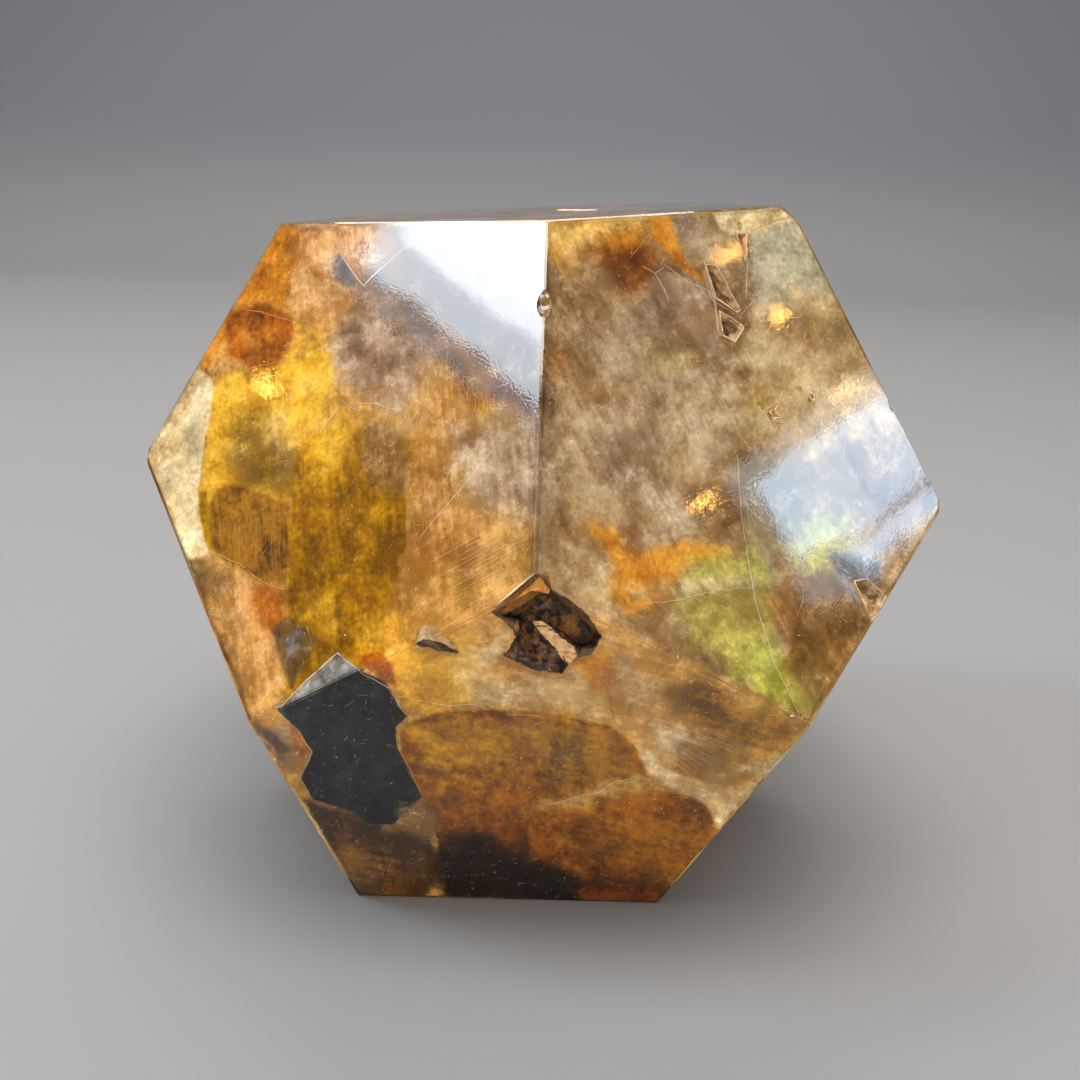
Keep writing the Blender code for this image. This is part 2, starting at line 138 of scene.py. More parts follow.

# Zones of stain on the three facets that the photograph shows, from the lowest coat to the highest,
# with painted shade, sheen and light among them where noted: paint, strength, how soft the edge is,
# in pixels, and the outline in the photograph's pixels.
ZONES = {
    "front_left": (
        ("tan", 1.0, 1, ((100, 180), (580, 180), (580, 640), (300, 780), (100, 600))),
        ("amber", 0.95, 10, (
            (262, 200), (300, 212), (298, 250), (296, 300), (283, 308), (234, 310), (205, 352), (165, 405),
        )),
        ("amber", 1.0, 7, ((270, 210), (286, 228), (242, 304), (206, 358), (182, 378), (190, 330))),
        # Rose stain with painted sheen near where the softbox is mirrored.
        ("rose", 0.9, 10, (
            (294, 218), (380, 214), (386, 258), (364, 282), (345, 262), (333, 262), (312, 266), (296, 250),
        )),
        ("rose", 0.8, 12, (
            (297, 262), (333, 268), (352, 286), (362, 320), (340, 336), (306, 330), (296, 300),
        )),
        ("honey", 0.85, 12, ((296, 322), (325, 330), (338, 360), (334, 392), (305, 400), (292, 360))),
        # Painted sheen: a grey-mauve sheen painted into the stain.
        ("mauve", 0.9, 12, (
            (335, 325), (350, 303), (375, 298), (400, 308), (427, 335), (430, 368), (424, 402),
            (398, 406), (360, 400), (343, 385), (332, 358),
        )),
        # Painted shade: dusk under the bright zigzag line, and along and below where the softbox is
        # mirrored.
        ("dusk", 0.9, 3, ((334, 263), (341, 254), (352, 268), (362, 284), (350, 288), (336, 278))),
        ("dusk", 0.8, 12, (
            (366, 284), (388, 262), (404, 288), (440, 332), (486, 376), (541, 398), (541, 425),
            (500, 408), (456, 380), (420, 344), (392, 306),
        )),
        ("dusk", 0.85, 12, (
            (392, 205), (550, 205), (550, 402), (506, 384), (470, 352), (430, 318), (400, 284),
        )),
        ("honey", 1.0, 4, (
            (213, 378), (255, 366), (300, 352), (330, 352), (326, 392), (306, 430), (298, 470),
            (292, 500), (290, 545), (230, 520), (203, 520), (198, 490), (205, 447),
        )),
        ("rust", 0.95, 4, (
            (226, 318), (243, 308), (268, 303), (288, 313), (292, 327), (290, 349), (276, 363),
            (250, 366), (226, 352),
        )),
        ("amber", 0.5, 10, ((240, 330), (262, 328), (270, 345), (250, 355))),
        ("olive", 0.8, 14, ((225, 445), (260, 428), (300, 440), (296, 500), (240, 500))),
        ("haze", 0.45, 14, ((262, 425), (285, 412), (304, 430), (298, 462), (270, 455))),
        ("olive", 0.7, 10, ((240, 418), (256, 413), (264, 440), (245, 448))),
        ("umber", 0.95, 3, (
            (209, 505), (216, 490), (234, 486), (256, 494), (290, 505), (292, 560), (286, 587),
            (262, 580), (226, 566), (212, 545),
        )),
        ("gold", 1.0, 2, (
            (293, 470), (302, 440), (325, 430), (350, 428), (372, 436), (390, 462), (405, 500),
            (408, 545), (396, 590), (384, 640), (392, 690), (330, 690), (284, 705), (286, 640),
            (287, 590), (291, 520),
        )),
        ("honey", 0.85, 14, ((294, 424), (340, 408), (356, 436), (334, 478), (298, 486))),
        ("umber", 0.5, 16, ((340, 430), (364, 425), (372, 470), (366, 530), (335, 540), (322, 500))),
        ("bark", 0.9, 10, (
            (360, 425), (385, 416), (404, 440), (406, 480), (394, 498), (370, 490), (360, 455),
        )),
        ("honey", 0.7, 14, ((295, 600), (330, 590), (345, 625), (310, 645))),
        ("copper", 0.7, 12, ((423, 378), (455, 370), (489, 392), (492, 432), (470, 440), (425, 432))),
        ("honey", 0.6, 6, ((478, 392), (488, 388), (492, 430), (480, 436))),
        ("copper", 0.85, 10, (
            (412, 455), (430, 445), (452, 470), (456, 510), (442, 545), (420, 545), (410, 500),
        )),
        ("haze", 0.8, 16, (
            (455, 430), (500, 418), (550, 408), (550, 520), (505, 512), (470, 500), (452, 470),
        )),
        ("mauve", 0.5, 16, ((455, 430), (500, 418), (550, 408), (550, 520), (505, 512), (470, 500))),
        ("copper", 0.75, 14, ((425, 520), (450, 510), (478, 525), (472, 560), (440, 570), (420, 555))),
        ("tan", 0.85, 12, (
            (404, 560), (430, 565), (480, 555), (550, 520), (550, 600), (480, 625), (380, 645), (390, 600),
        )),
        ("honey", 0.7, 8, ((355, 620), (400, 612), (410, 650), (370, 665))),
        ("copper", 0.9, 5, (
            (186, 556), (240, 566), (262, 584), (286, 590), (284, 660), (262, 700), (245, 720), (205, 650),
        )),
        ("bark", 0.85, 12, ((186, 560), (226, 566), (244, 620), (256, 700), (235, 715), (205, 650))),
        ("rust", 0.85, 6, ((258, 592), (270, 584), (284, 598), (286, 625), (276, 640), (264, 628))),
        ("rose", 0.45, 12, ((246, 640), (266, 636), (280, 660), (276, 700), (256, 714))),
        ("murk", 0.9, 6, ((184, 556), (200, 552), (212, 572), (212, 600), (198, 602))),
        # Painted light: the light seen through the clear left corner, painted as cream.
        ("cream", 1.0, 1, (
            (110, 455), (190, 360), (214, 380), (212, 408), (204, 447), (197, 490), (203, 529),
            (210, 554), (186, 562), (140, 520),
        )),
        ("gold", 0.85, 2, ((198, 492), (205, 488), (209, 520), (215, 550), (206, 542), (200, 520))),
        ("lichen", 0.6, 8, ((183, 430), (200, 424), (200, 455), (186, 462))),
        ("lichen", 0.5, 8, ((150, 470), (170, 465), (168, 490), (155, 495))),
        ("murk", 0.95, 3, (
            (272, 630), (288, 618), (300, 628), (318, 640), (304, 662), (290, 690), (280, 660),
        )),
        # Painted sheen: the glassy rings and the pale strip over the dark plate.
        ("frost_and_sheen", 0.7, 3, ((286, 640), (294, 630), (304, 634), (302, 646), (292, 654), (284, 668))),
        ("frost_and_sheen", 0.95, 1, ((272, 716), (337, 652), (374, 682), (300, 714))),
        ("rust", 0.95, 2, ((356, 656), (380, 653), (392, 664), (402, 690), (376, 682))),
    ),
    "front_right": (
        ("smoke", 1.0, 1, ((500, 160), (860, 160), (1000, 500), (830, 780), (480, 620))),
        ("tan", 0.85, 14, ((535, 196), (664, 194), (660, 245), (600, 262), (535, 262))),
        ("haze", 0.6, 10, ((565, 232), (590, 228), (592, 244), (568, 248))),
        ("bark", 0.95, 8, (
            (535, 281), (560, 282), (590, 296), (606, 330), (600, 380), (575, 410), (535, 440),
        )),
        ("rust", 0.6, 12, ((552, 340), (575, 345), (578, 385), (556, 385))),
        ("rust", 0.85, 10, (
            (594, 246), (615, 234), (645, 240), (660, 256), (656, 284), (630, 300), (608, 285), (596, 265),
        )),
        ("amber", 0.8, 8, ((600, 238), (625, 226), (642, 238), (615, 252))),
        ("cream", 0.9, 9, ((545, 200), (648, 200), (642, 222), (606, 238), (575, 248), (550, 236))),
        ("amber", 0.95, 3, (
            (649, 205), (667, 203), (681, 254), (705, 276), (705, 288), (681, 268), (656, 240),
        )),
        ("rust", 0.8, 6, ((672, 252), (684, 256), (692, 270), (680, 268))),
        ("mauve", 0.7, 6, (
            (669, 202), (692, 200), (720, 256), (740, 308), (722, 292), (706, 262), (692, 270), (682, 240),
        )),
        ("haze", 0.9, 5, (
            (665, 272), (704, 281), (720, 315), (738, 362), (704, 352), (680, 322), (663, 299),
        )),
        ("clear", 0.95, 3, ((752, 234), (780, 226), (800, 206), (850, 300), (824, 312), (757, 306))),
        ("beige", 0.9, 2, ((700, 200), (800, 200), (802, 214), (776, 222), (755, 232), (722, 228))),
        ("cream", 1.0, 2, ((704, 192), (808, 192), (808, 216), (776, 226), (755, 236), (720, 232))),
        ("beige", 0.95, 12, (
            (744, 316), (780, 300), (856, 292), (900, 385), (900, 420), (840, 440), (822, 455),
            (780, 452), (755, 420), (737, 370),
        )),
        ("bark", 0.7, 12, ((772, 322), (800, 312), (846, 318), (848, 340), (812, 352), (780, 348))),
        ("murk", 0.6, 16, ((618, 312), (650, 300), (684, 330), (680, 378), (640, 380), (616, 350))),
        ("moss", 0.6, 12, ((640, 344), (670, 340), (694, 360), (680, 376), (650, 368))),
        ("murk", 0.7, 18, ((606, 428), (640, 420), (666, 440), (660, 476), (625, 486), (606, 462))),
        ("honey", 0.5, 10, ((548, 216), (640, 206), (640, 230), (600, 238), (556, 252))),
        ("haze", 0.4, 24, (
            (560, 305), (620, 290), (700, 330), (744, 420), (710, 480), (600, 480), (550, 420),
        )),
        ("haze", 0.6, 14, ((635, 490), (660, 484), (684, 510), (686, 550), (655, 552), (636, 525))),
        ("bark", 0.6, 14, ((684, 480), (730, 478), (738, 540), (700, 545))),
        ("lichen", 0.75, 8, (
            (739, 450), (790, 452), (836, 480), (836, 520), (798, 548), (754, 600), (744, 520),
        )),
        ("beige", 0.85, 12, ((563, 550), (610, 555), (618, 606), (590, 612), (565, 590))),
        ("amber", 0.9, 9, (
            (589, 523), (609, 521), (635, 548), (652, 556), (681, 542), (720, 545), (722, 560),
            (684, 573), (669, 601), (635, 604), (614, 592), (611, 563), (592, 536),
        )),
        ("moss", 0.75, 14, (
            (700, 560), (745, 548), (768, 575), (796, 660), (806, 714), (765, 704), (720, 678),
            (690, 645), (682, 600),
        )),
        ("moss", 0.95, 12, ((732, 640), (770, 632), (792, 660), (802, 706), (770, 700), (740, 675))),
        ("haze", 0.6, 5, ((629, 586), (690, 583), (758, 582), (756, 592), (690, 596), (632, 596))),
        ("moss", 0.8, 12, ((798, 530), (826, 514), (848, 530), (845, 562), (815, 572), (798, 556))),
        ("bark", 0.95, 6, (
            (770, 588), (800, 570), (846, 582), (880, 610), (860, 660), (815, 730), (802, 695), (786, 640),
        )),
        ("copper", 0.7, 8, ((768, 590), (790, 592), (800, 640), (797, 690), (782, 650))),
        ("beige", 0.85, 3, (
            (750, 402), (763, 391), (769, 376), (777, 393), (789, 402), (777, 412), (771, 428), (763, 412),
        )),
        ("beige", 0.75, 3, ((789, 400), (800, 366), (808, 398), (813, 432), (800, 412))),
        ("frost_and_sheen", 0.85, 2, (
            (826, 551), (850, 550), (884, 560), (880, 580), (858, 610), (848, 592), (838, 572),
        )),
        ("murk", 0.8, 3, ((838, 560), (856, 558), (866, 574), (856, 590), (848, 576))),
    ),
    "low_front": (
        ("tan", 1.0, 1, ((220, 540), (850, 540), (850, 760), (660, 960), (340, 960), (210, 740))),
        ("honey", 0.9, 14, ((376, 636), (440, 636), (487, 655), (480, 712), (420, 716), (392, 690))),
        ("beige", 0.8, 16, (
            (463, 660), (520, 672), (560, 674), (611, 690), (606, 722), (540, 712), (470, 700),
        )),
        ("cream", 0.85, 3, (
            (512, 628), (515, 634), (504, 650), (500, 660), (484, 664), (470, 656), (486, 646), (500, 632),
        )),
        ("haze", 0.55, 5, ((480, 696), (520, 690), (562, 700), (560, 710), (500, 706))),
        ("ochre", 1.0, 2, (
            (397, 728), (421, 716), (479, 708), (540, 712), (604, 724), (643, 750), (662, 778),
            (700, 792), (716, 815), (708, 850), (670, 925), (520, 925), (440, 860), (425, 800), (400, 760),
        )),
        ("gold", 0.75, 16, (
            (402, 728), (470, 714), (560, 718), (590, 740), (540, 766), (440, 782), (412, 760),
        )),
        ("honey", 0.35, 18, ((410, 725), (470, 716), (560, 722), (560, 760), (470, 770), (415, 752))),
        ("olive", 0.6, 20, ((545, 730), (610, 738), (640, 780), (600, 800), (550, 780))),
        ("haze", 0.4, 5, (
            (520, 812), (556, 799), (600, 787), (642, 774), (690, 782), (716, 800), (690, 796),
            (646, 788), (604, 799), (560, 808),
        )),
        ("umber", 0.45, 24, ((560, 845), (640, 825), (700, 835), (670, 890), (580, 880))),
        ("rust", 0.6, 16, (
            (430, 826), (480, 818), (540, 836), (600, 862), (660, 872), (640, 900), (520, 880), (430, 850),
        )),
        ("beige", 0.85, 10, ((613, 650), (640, 654), (664, 684), (652, 716), (622, 704))),
        ("bark", 0.9, 6, ((664, 690), (690, 684), (724, 700), (728, 722), (700, 730), (672, 716))),
        ("umber", 0.9, 12, (
            (677, 695), (700, 688), (755, 712), (800, 726), (785, 755), (730, 745), (690, 735),
        )),
        ("umber", 0.6, 12, ((650, 730), (690, 735), (760, 750), (775, 770), (700, 784), (664, 765))),
        ("haze", 0.7, 8, ((655, 728), (680, 730), (708, 752), (690, 760), (662, 748))),
        ("beige", 0.9, 5, ((712, 795), (770, 768), (806, 745), (795, 785), (735, 840), (716, 815))),
        ("cream", 0.85, 3, (
            (636, 744), (650, 748), (664, 766), (700, 780), (722, 800), (738, 838), (722, 840),
            (708, 808), (680, 792), (650, 772),
        )),
        ("haze", 0.7, 4, ((700, 778), (740, 768), (778, 758), (780, 766), (742, 778), (706, 790))),
        ("amber", 0.9, 3, ((576, 661), (588, 652), (608, 650), (612, 690), (600, 696), (588, 678))),
        ("copper", 0.8, 3, ((600, 664), (616, 662), (612, 690), (620, 712), (612, 714), (602, 690))),
        ("peat", 0.97, 5, (
            (300, 798), (355, 812), (395, 826), (428, 828), (440, 870), (400, 920), (330, 920), (310, 850),
        )),
        ("umber", 0.5, 12, ((330, 850), (390, 850), (420, 880), (380, 905), (340, 900))),
        ("cream", 0.8, 4, ((232, 688), (256, 686), (264, 704), (246, 714))),
        ("mauve", 0.8, 5, ((245, 718), (290, 728), (308, 752), (296, 772), (276, 766))),
        ("dusk", 0.9, 3, ((250, 722), (268, 727), (292, 752), (282, 760), (262, 746))),
        ("rust", 0.8, 3, ((290, 720), (305, 735), (312, 755), (304, 762), (292, 744))),
        # Painted shade: the dark at the foot of the stone.
        ("shade", 1.0, 14, (
            (425, 846), (470, 838), (520, 852), (570, 872), (676, 884), (680, 930), (345, 930),
            (352, 906), (430, 892),
        )),
        ("ember", 0.6, 8, ((561, 886), (620, 882), (670, 886), (660, 915), (580, 915))),
        ("plate", 1.0, 0.8, (
            (277, 710), (358, 670), (384, 681), (397, 704), (407, 716), (395, 727), (397, 747),
            (409, 774), (423, 797), (409, 809), (393, 825), (374, 825), (355, 813), (312, 799),
            (300, 778), (308, 762), (312, 751), (300, 731),
        )),
        # Painted sheen: the pale strip over the dark plate.
        ("frost_and_sheen", 0.9, 1, ((277, 710), (337, 652), (360, 670), (300, 701))),
        ("murk", 0.9, 6, ((398, 812), (425, 800), (438, 824), (420, 838), (402, 828))),
        ("rust", 0.95, 2, ((356, 656), (380, 653), (392, 664), (396, 686), (384, 682), (368, 670))),
    ),
}

# Stain on the facets that the photograph doesn't show, and in the heart, comes from soft noise: paint,
# strength, how soft its edge is and how far apart its clouds are, in millimetres, which noise it is, and
# the level above which it stains.
FIELDS = (
    ("smoke", 1.0, 1.0, 20.0, 1, -3.0),
    ("tan", 0.9, 1.6, 24.0, 2, 0.0),
    ("beige", 0.8, 1.4, 18.0, 3, 0.2),
    ("haze", 0.7, 1.6, 15.0, 4, 0.3),
    ("mauve", 0.7, 1.4, 15.0, 14, 0.34),
    ("clear", 0.9, 0.5, 21.0, 5, 0.3),
    ("honey", 0.9, 0.8, 21.0, 6, 0.22),
    ("ochre", 1.0, 0.4, 23.0, 7, 0.24),
    ("gold", 1.0, 0.3, 20.0, 8, 0.3),
    ("amber", 0.9, 1.2, 15.0, 9, 0.34),
    ("copper", 0.85, 1.0, 13.0, 10, 0.42),
    ("bark", 0.8, 1.0, 13.0, 11, 0.36),
    ("rust", 0.85, 0.5, 10.0, 15, 0.5),
    ("moss", 0.7, 1.4, 14.0, 12, 0.5),
    ("cream", 0.9, 0.2, 17.0, 13, 0.48),
    ("murk", 0.6, 1.6, 10.0, 16, 0.46),
)

# How far up the painted shade at the foot of the stone reaches, in millimetres, and how the fibres
# lie on the shown facets, in degrees.
SHADE_BELOW = 2.6
FIBRES_LIE = {"front_left": 84.0, "front_right": 62.0, "low_front": 14.0}

# Fracture lines: facet, tone, depth and width in millimetres, and the line in the photograph's pixels.
THREADS = {"pale": (244, 232, 212), "gilt": (216, 148, 56)}
LINES = (
    ("front_left", "pale", 0.5, 0.11, (
        (333, 262), (340, 254), (350, 268), (363, 286), (376, 273), (389, 261),
    )),
    ("front_left", "pale", 0.5, 0.06, ((389, 261), (418, 236), (437, 242), (456, 249))),
    ("front_left", "gilt", 0.9, 0.12, ((243, 309), (262, 312), (291, 321))),
    ("front_left", "gilt", 0.9, 0.07, ((245, 304), (262, 301), (280, 303), (291, 310))),
    ("front_left", "gilt", 0.9, 0.08, ((223, 374), (250, 368), (278, 362))),
    ("front_left", "gilt", 0.5, 0.08, ((198, 362), (210, 355), (223, 349))),
    ("front_left", "gilt", 0.8, 0.14, ((206, 552), (220, 556), (240, 564), (262, 582), (285, 590))),
    ("front_left", "pale", 1.0, 0.07, ((319, 433), (332, 416), (344, 403), (357, 411))),
    ("front_left", "pale", 1.0, 0.07, ((357, 403), (377, 404), (395, 410), (412, 420))),
    ("front_left", "pale", 0.7, 0.05, ((415, 543), (440, 513), (464, 485), (495, 447))),
    ("front_left", "gilt", 1.0, 0.05, ((397, 447), (404, 474), (412, 515), (418, 540))),
    ("front_right", "pale", 0.8, 0.08, ((737, 455), (742, 520), (755, 600), (775, 665), (800, 715))),
    ("front_right", "pale", 0.4, 0.09, ((643, 266), (655, 273), (664, 288), (669, 302))),
    ("front_right", "pale", 0.4, 0.09, ((655, 273), (666, 266), (689, 282), (707, 290), (715, 305))),
    ("front_right", "pale", 0.3, 0.09, (
        (704, 260), (715, 302), (718, 331), (734, 348), (740, 331), (747, 323),
    )),
    ("front_right", "pale", 0.3, 0.08, ((716, 303), (744, 319))),
    ("front_right", "pale", 0.4, 0.07, ((740, 316), (755, 299))),
    ("front_right", "pale", 0.5, 0.07, ((748, 233), (747, 273), (746, 300))),
    ("front_right", "pale", 0.3, 0.09, (
        (762, 411), (778, 402), (784, 388), (787, 400), (800, 405),
        (807, 400), (813, 377), (818, 402), (824, 428),
    )),
    ("front_right", "pale", 0.3, 0.09, ((764, 411), (770, 422), (774, 434), (778, 424), (793, 422))),
    ("front_right", "pale", 1.0, 0.07, ((635, 605), (681, 600), (709, 592), (750, 587))),
    ("front_right", "gilt", 0.6, 0.09, ((755, 229), (775, 221), (793, 216))),
    ("front_right", "gilt", 0.9, 0.1, ((563, 276), (586, 288), (603, 305))),
    ("front_right", "gilt", 0.9, 0.07, ((629, 259), (646, 239), (661, 216))),
    ("front_left", "pale", 0.2, 0.12, (
        (277, 711), (290, 697), (306, 681), (322, 667), (337, 653), (362, 673),
    )),
    ("front_left", "pale", 0.04, 0.14, ((486, 614), (500, 602), (518, 587), (536, 572))),
    ("low_front", "pale", 0.4, 0.1, ((360, 672), (375, 680), (392, 690), (405, 715))),
    ("low_front", "pale", 0.4, 0.06, (
        (277, 711), (298, 731), (312, 752), (308, 762), (300, 778), (312, 799),
    )),
    ("low_front", "gilt", 0.6, 0.1, ((396, 735), (398, 748), (410, 770), (424, 800))),
    ("low_front", "pale", 1.0, 0.05, (
        (535, 806), (556, 803), (580, 796), (600, 792), (612, 783), (636, 777),
    )),
    ("low_front", "pale", 1.0, 0.08, ((397, 696), (448, 706), (471, 704), (502, 714), (541, 716))),
    ("low_front", "gilt", 0.9, 0.14, ((603, 680), (609, 696), (615, 723))),
)

# Ledges in the large hollow: facet, paint, how thick and how deep each is, in millimetres, and its
# outline in the photograph's pixels.
LEDGES = (
    ("front_left", "ochre", 1.0, 0.2, (
        (489, 613), (508, 596), (534, 574), (540, 572), (545, 582),
        (540, 590), (530, 590), (516, 600), (503, 607),
    )),
    ("low_front", "rose", 0.12, -0.02, (
        (533, 622), (542, 622), (552, 629), (563, 638), (574, 647), (577, 655), (571, 663), (563, 660),
        (556, 650), (549, 641), (540, 632),
    )),
)

# Crusts, of the large hollow and of the small pits: name, dark, light and gilt colour, and roughness.
CRUSTS = (
    ("iron_oxide_crust", (38, 23, 12), (122, 88, 54), (156, 98, 34), 0.5),
    ("clay_crust", (126, 94, 58), (184, 150, 108), (176, 116, 66), 0.6),
)

# How far the large hollow reaches from the foremost corner.
BIG_HOLLOW = 11.0 * MM

# Rims where hollows open, on the large one and on the others: how far they swing, how far apart their
# points are and how thick they are, in millimetres.
RAGGED_RIM, FINE_RIM = (0.2, 0.22, 0.075), (0.05, 0.5, 0.042)

# Fine parallel lines: facet, tone, depth and width in millimetres, how many there are, and the first
# and last of them in the photograph's pixels.
STRIAE = (
    ("front_left", "pale", 0.35, 0.022, 17, ((412, 572), (528, 508)), ((470, 618), (530, 588))),
    ("front_left", "gilt", 0.5, 0.035, 24, ((421, 372), (423, 440)), ((494, 392), (491, 440))),
    ("front_left", "gilt", 0.6, 0.03, 12, ((414, 452), (424, 540)), ((452, 462), (470, 556))),
    ("front_left", "pale", 0.4, 0.025, 14, ((300, 228), (304, 262)), ((372, 226), (380, 266))),
    ("front_left", "gilt", 0.6, 0.03, 14, ((222, 500), (218, 556)), ((286, 506), (284, 580))),
    ("front_right", "pale", 0.5, 0.022, 9, ((640, 600), (700, 640)), ((690, 575), (760, 610))),
    ("low_front", "pale", 0.5, 0.03, 12, ((650, 742), (704, 788)), ((688, 724), (776, 752))),
)

# How the needles lie on the shown facets, in radians, and how many needles, hairs and flecks there are
# below a shown facet and below another one.
NEEDLES_LIE = {"front_left": 1.4, "front_right": 2.2, "low_front": 0.4}
NEEDLES, HAIRS, FLECKS = (520, 260), 30, (3200, 700)

# Healed fractures that cross the stone: centre from its middle, in millimetres, the azimuth and
# elevation that each faces, its radius and how far it bows, in millimetres.
VEILS = (
    ((-6.0, -12.0, 4.0), (-70.0, 35.0), 20.0, 4.0),
    ((8.0, -8.0, 6.0), (-20.0, 12.0), 20.0, -5.0),
    ((0.0, -10.0, -10.0), (-95.0, -50.0), 20.0, 5.0),
    ((-10.0, 6.0, 2.0), (160.0, 20.0), 22.0, -4.0),
    ((6.0, 12.0, 0.0), (75.0, 10.0), 22.0, 5.0),
    ((2.0, 2.0, 14.0), (120.0, 72.0), 22.0, 3.0),
    ((12.0, 4.0, -8.0), (10.0, -35.0), 18.0, -4.0),
    ((-8.0, 4.0, -12.0), (-160.0, -60.0), 18.0, 4.0),
)

# Lamps: name, azimuth and elevation from the stone, distance, box on the lamp's plane, colour and
# radiance. The softbox and the window are where the two upper facets mirror them in the photograph.
LAMPS = (
    ("softbox_glow", 187.0, 36.0, 610.0, (-78.0, -42.0, 120.0, 110.0), (206, 222, 240), 2.5),
    ("softbox", 187.0, 36.0, 600.0, (-64.0, -28.0, 120.0, 110.0), (206, 226, 240), 10.0),
    ("softbox_inner", 187.0, 36.0, 595.0, (-52.0, -6.0, 120.0, 110.0), (238, 242, 244), 8.0),
    ("softbox_middle", 187.0, 36.0, 590.0, (-40.0, 14.0, 120.0, 110.0), (240, 248, 255), 26.0),
    ("window_glow", -3.0, 22.0, 606.0, (-70.0, -32.0, 66.0, 56.0), (172, 208, 236), 3.0),
    ("window_upper", -3.0, 22.0, 600.0, (-60.0, -7.0, 60.0, 42.0), (172, 208, 240), 9.5),
    ("window_lower", -3.0, 22.0, 600.0, (-42.0, -25.0, 60.0, -11.0), (172, 208, 240), 9.5),
    ("overhead", -70.0, 74.0, 900.0, (-450.0, -290.0, 450.0, 290.0), (252, 250, 248), 4.4),
    ("front_fill", -98.0, 69.0, 1000.0, (-500.0, -250.0, 500.0, 250.0), (252, 250, 248), 8.0),
    ("low_fill", -90.0, 9.0, 700.0, (-380.0, -90.0, 380.0, 110.0), (252, 250, 248), 9.5),
    ("back_light", 95.0, 52.0, 900.0, (-380.0, -220.0, 380.0, 220.0), (252, 250, 248), 6.0),
    ("bulb_left", 187.0, 36.0, 600.0, (-66.0, -111.0, -60.0, -105.0), (255, 190, 96), 60.0),
    ("bulb_1", -3.0, 22.0, 600.0, (2.0, 99.0, 8.0, 105.0), (255, 190, 96), 60.0),
    ("bulb_2", -3.0, 22.0, 600.0, (6.0, 49.0, 12.0, 55.0), (255, 190, 96), 14.0),
    ("bulb_3", -3.0, 22.0, 600.0, (-89.0, 47.0, -83.0, 53.0), (255, 190, 96), 60.0),
    ("bulb_4", -3.0, 22.0, 600.0, (1.0, 145.0, 7.0, 151.0), (255, 190, 96), 36.0),
)


def facing(azimuth, elevation):
    """The unit vector that points to this azimuth and elevation, in degrees."""
    around, up = math.radians(azimuth), math.radians(elevation)
    return Vector((math.cos(around) * math.cos(up), math.sin(around) * math.cos(up), math.sin(up)))


def camera_axes():
    """The camera's right, up and forward."""
    yaw, pitch, roll = (math.radians(turn) for turn in (YAW, PITCH, ROLL))
    forward = Vector((-math.sin(yaw) * math.cos(pitch), math.cos(yaw) * math.cos(pitch), math.sin(pitch)))
    level = Vector((math.cos(yaw), math.sin(yaw), 0.0))
    above = level.cross(forward)
    right = level * math.cos(roll) + above * math.sin(roll)
    up = above * math.cos(roll) - level * math.sin(roll)
    return right, up, forward


def sight(px, py):
    """The direction of the camera's ray through a pixel of the photograph."""
    right, up, forward = camera_axes()
    middle = PICTURE / 2.0
    aside, below = (px - middle) / FOCAL_PIXELS, (py - middle) / FOCAL_PIXELS
    return (forward + right * aside - up * below).normalized()


def bent(ray, normal):
    """A ray's direction inside the quartz, refracted by a facet with this outward normal."""
    ratio = 1.0 / QUARTZ_IOR
    into = -ray.dot(normal)
    root = math.sqrt(1.0 - ratio * ratio * (1.0 - into * into))
    return (ray * ratio + normal * (ratio * into - root)).normalized()


class Facet:
    """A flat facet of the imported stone, with axes across, up and out of it, seen from outside."""

    def __init__(self, name, mesh):
        self.name = name
        wanted = facing(*FACINGS[name])
        flat = [face for face in mesh.polygons if face.normal.dot(wanted) > FACING_TOLERANCE]
        largest = max(flat, key=lambda face: face.area)
        self.normal = largest.normal.copy()
        self.distance = (largest.center - MIDDLE).dot(self.normal)
        across = Vector((-self.normal.y, self.normal.x, 0.0))
        if abs(self.normal.z) > NEARLY_LEVEL:
            across = Vector((1.0, 0.0, 0.0))
        self.across = (across - across.dot(self.normal) * self.normal).normalized()
        self.up = self.normal.cross(self.across)
        self.origin = MIDDLE + self.normal * self.distance
        self.corners = []

    def at(self, u, v, depth=0.0):
        """A point across and up the facet and straight below it, all in millimetres."""
        return self.origin + (self.across * u + self.up * v - self.normal * depth) * MM

    def flat(self, point):
        """A point's place across and up the facet, in millimetres."""
        offset = point - self.origin
        return offset.dot(self.across) / MM, offset.dot(self.up) / MM

    def seen(self, px, py):
        """Where the camera's ray through a pixel meets the facet, across and up, in millimetres."""
        ray = sight(px, py)
        reach = (self.origin - CAMERA_AT).dot(self.normal) / ray.dot(self.normal)
        return self.flat(CAMERA_AT + ray * reach)

    def inward(self, u, v):
        """The way that sight goes on inside the stone from this point of the facet."""
        if self.name in SHOWN_FACETS:
            return bent((self.at(u, v) - CAMERA_AT).normalized(), self.normal)
        return -self.normal


def meeting_point(facets):
    """The point where three facets meet."""
    rows = Matrix([facet.normal for facet in facets])
    return MIDDLE + rows.inverted() @ Vector([facet.distance for facet in facets])


def measure_facets(mesh):
    """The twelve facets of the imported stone, each with its corners in order round it."""
    facets = {name: Facet(name, mesh) for name in FACINGS}
    for trio in itertools.combinations(facets.values(), 3):
        rows = Matrix([facet.normal for facet in trio])
        if abs(rows.determinant()) < 0.1:
            continue
        offset = rows.inverted() @ Vector([facet.distance for facet in trio])
        if all(offset.dot(facet.normal) <= facet.distance + 0.01 * MM for facet in facets.values()):
            for facet in trio:
                facet.corners.append(facet.flat(MIDDLE + offset))
    for facet in facets.values():
        facet.corners.sort(key=lambda corner: math.atan2(corner[1], corner[0]))
    return facets


def linear(colour):
    """An eight-bit colour, as the eye reads it, in the linear values that shaders take."""
    shares = (part / 255.0 for part in colour)
    return tuple(s / 12.92 if s <= 0.04045 else ((s + 0.055) / 1.055) ** 2.4 for s in shares) + (1.0,)


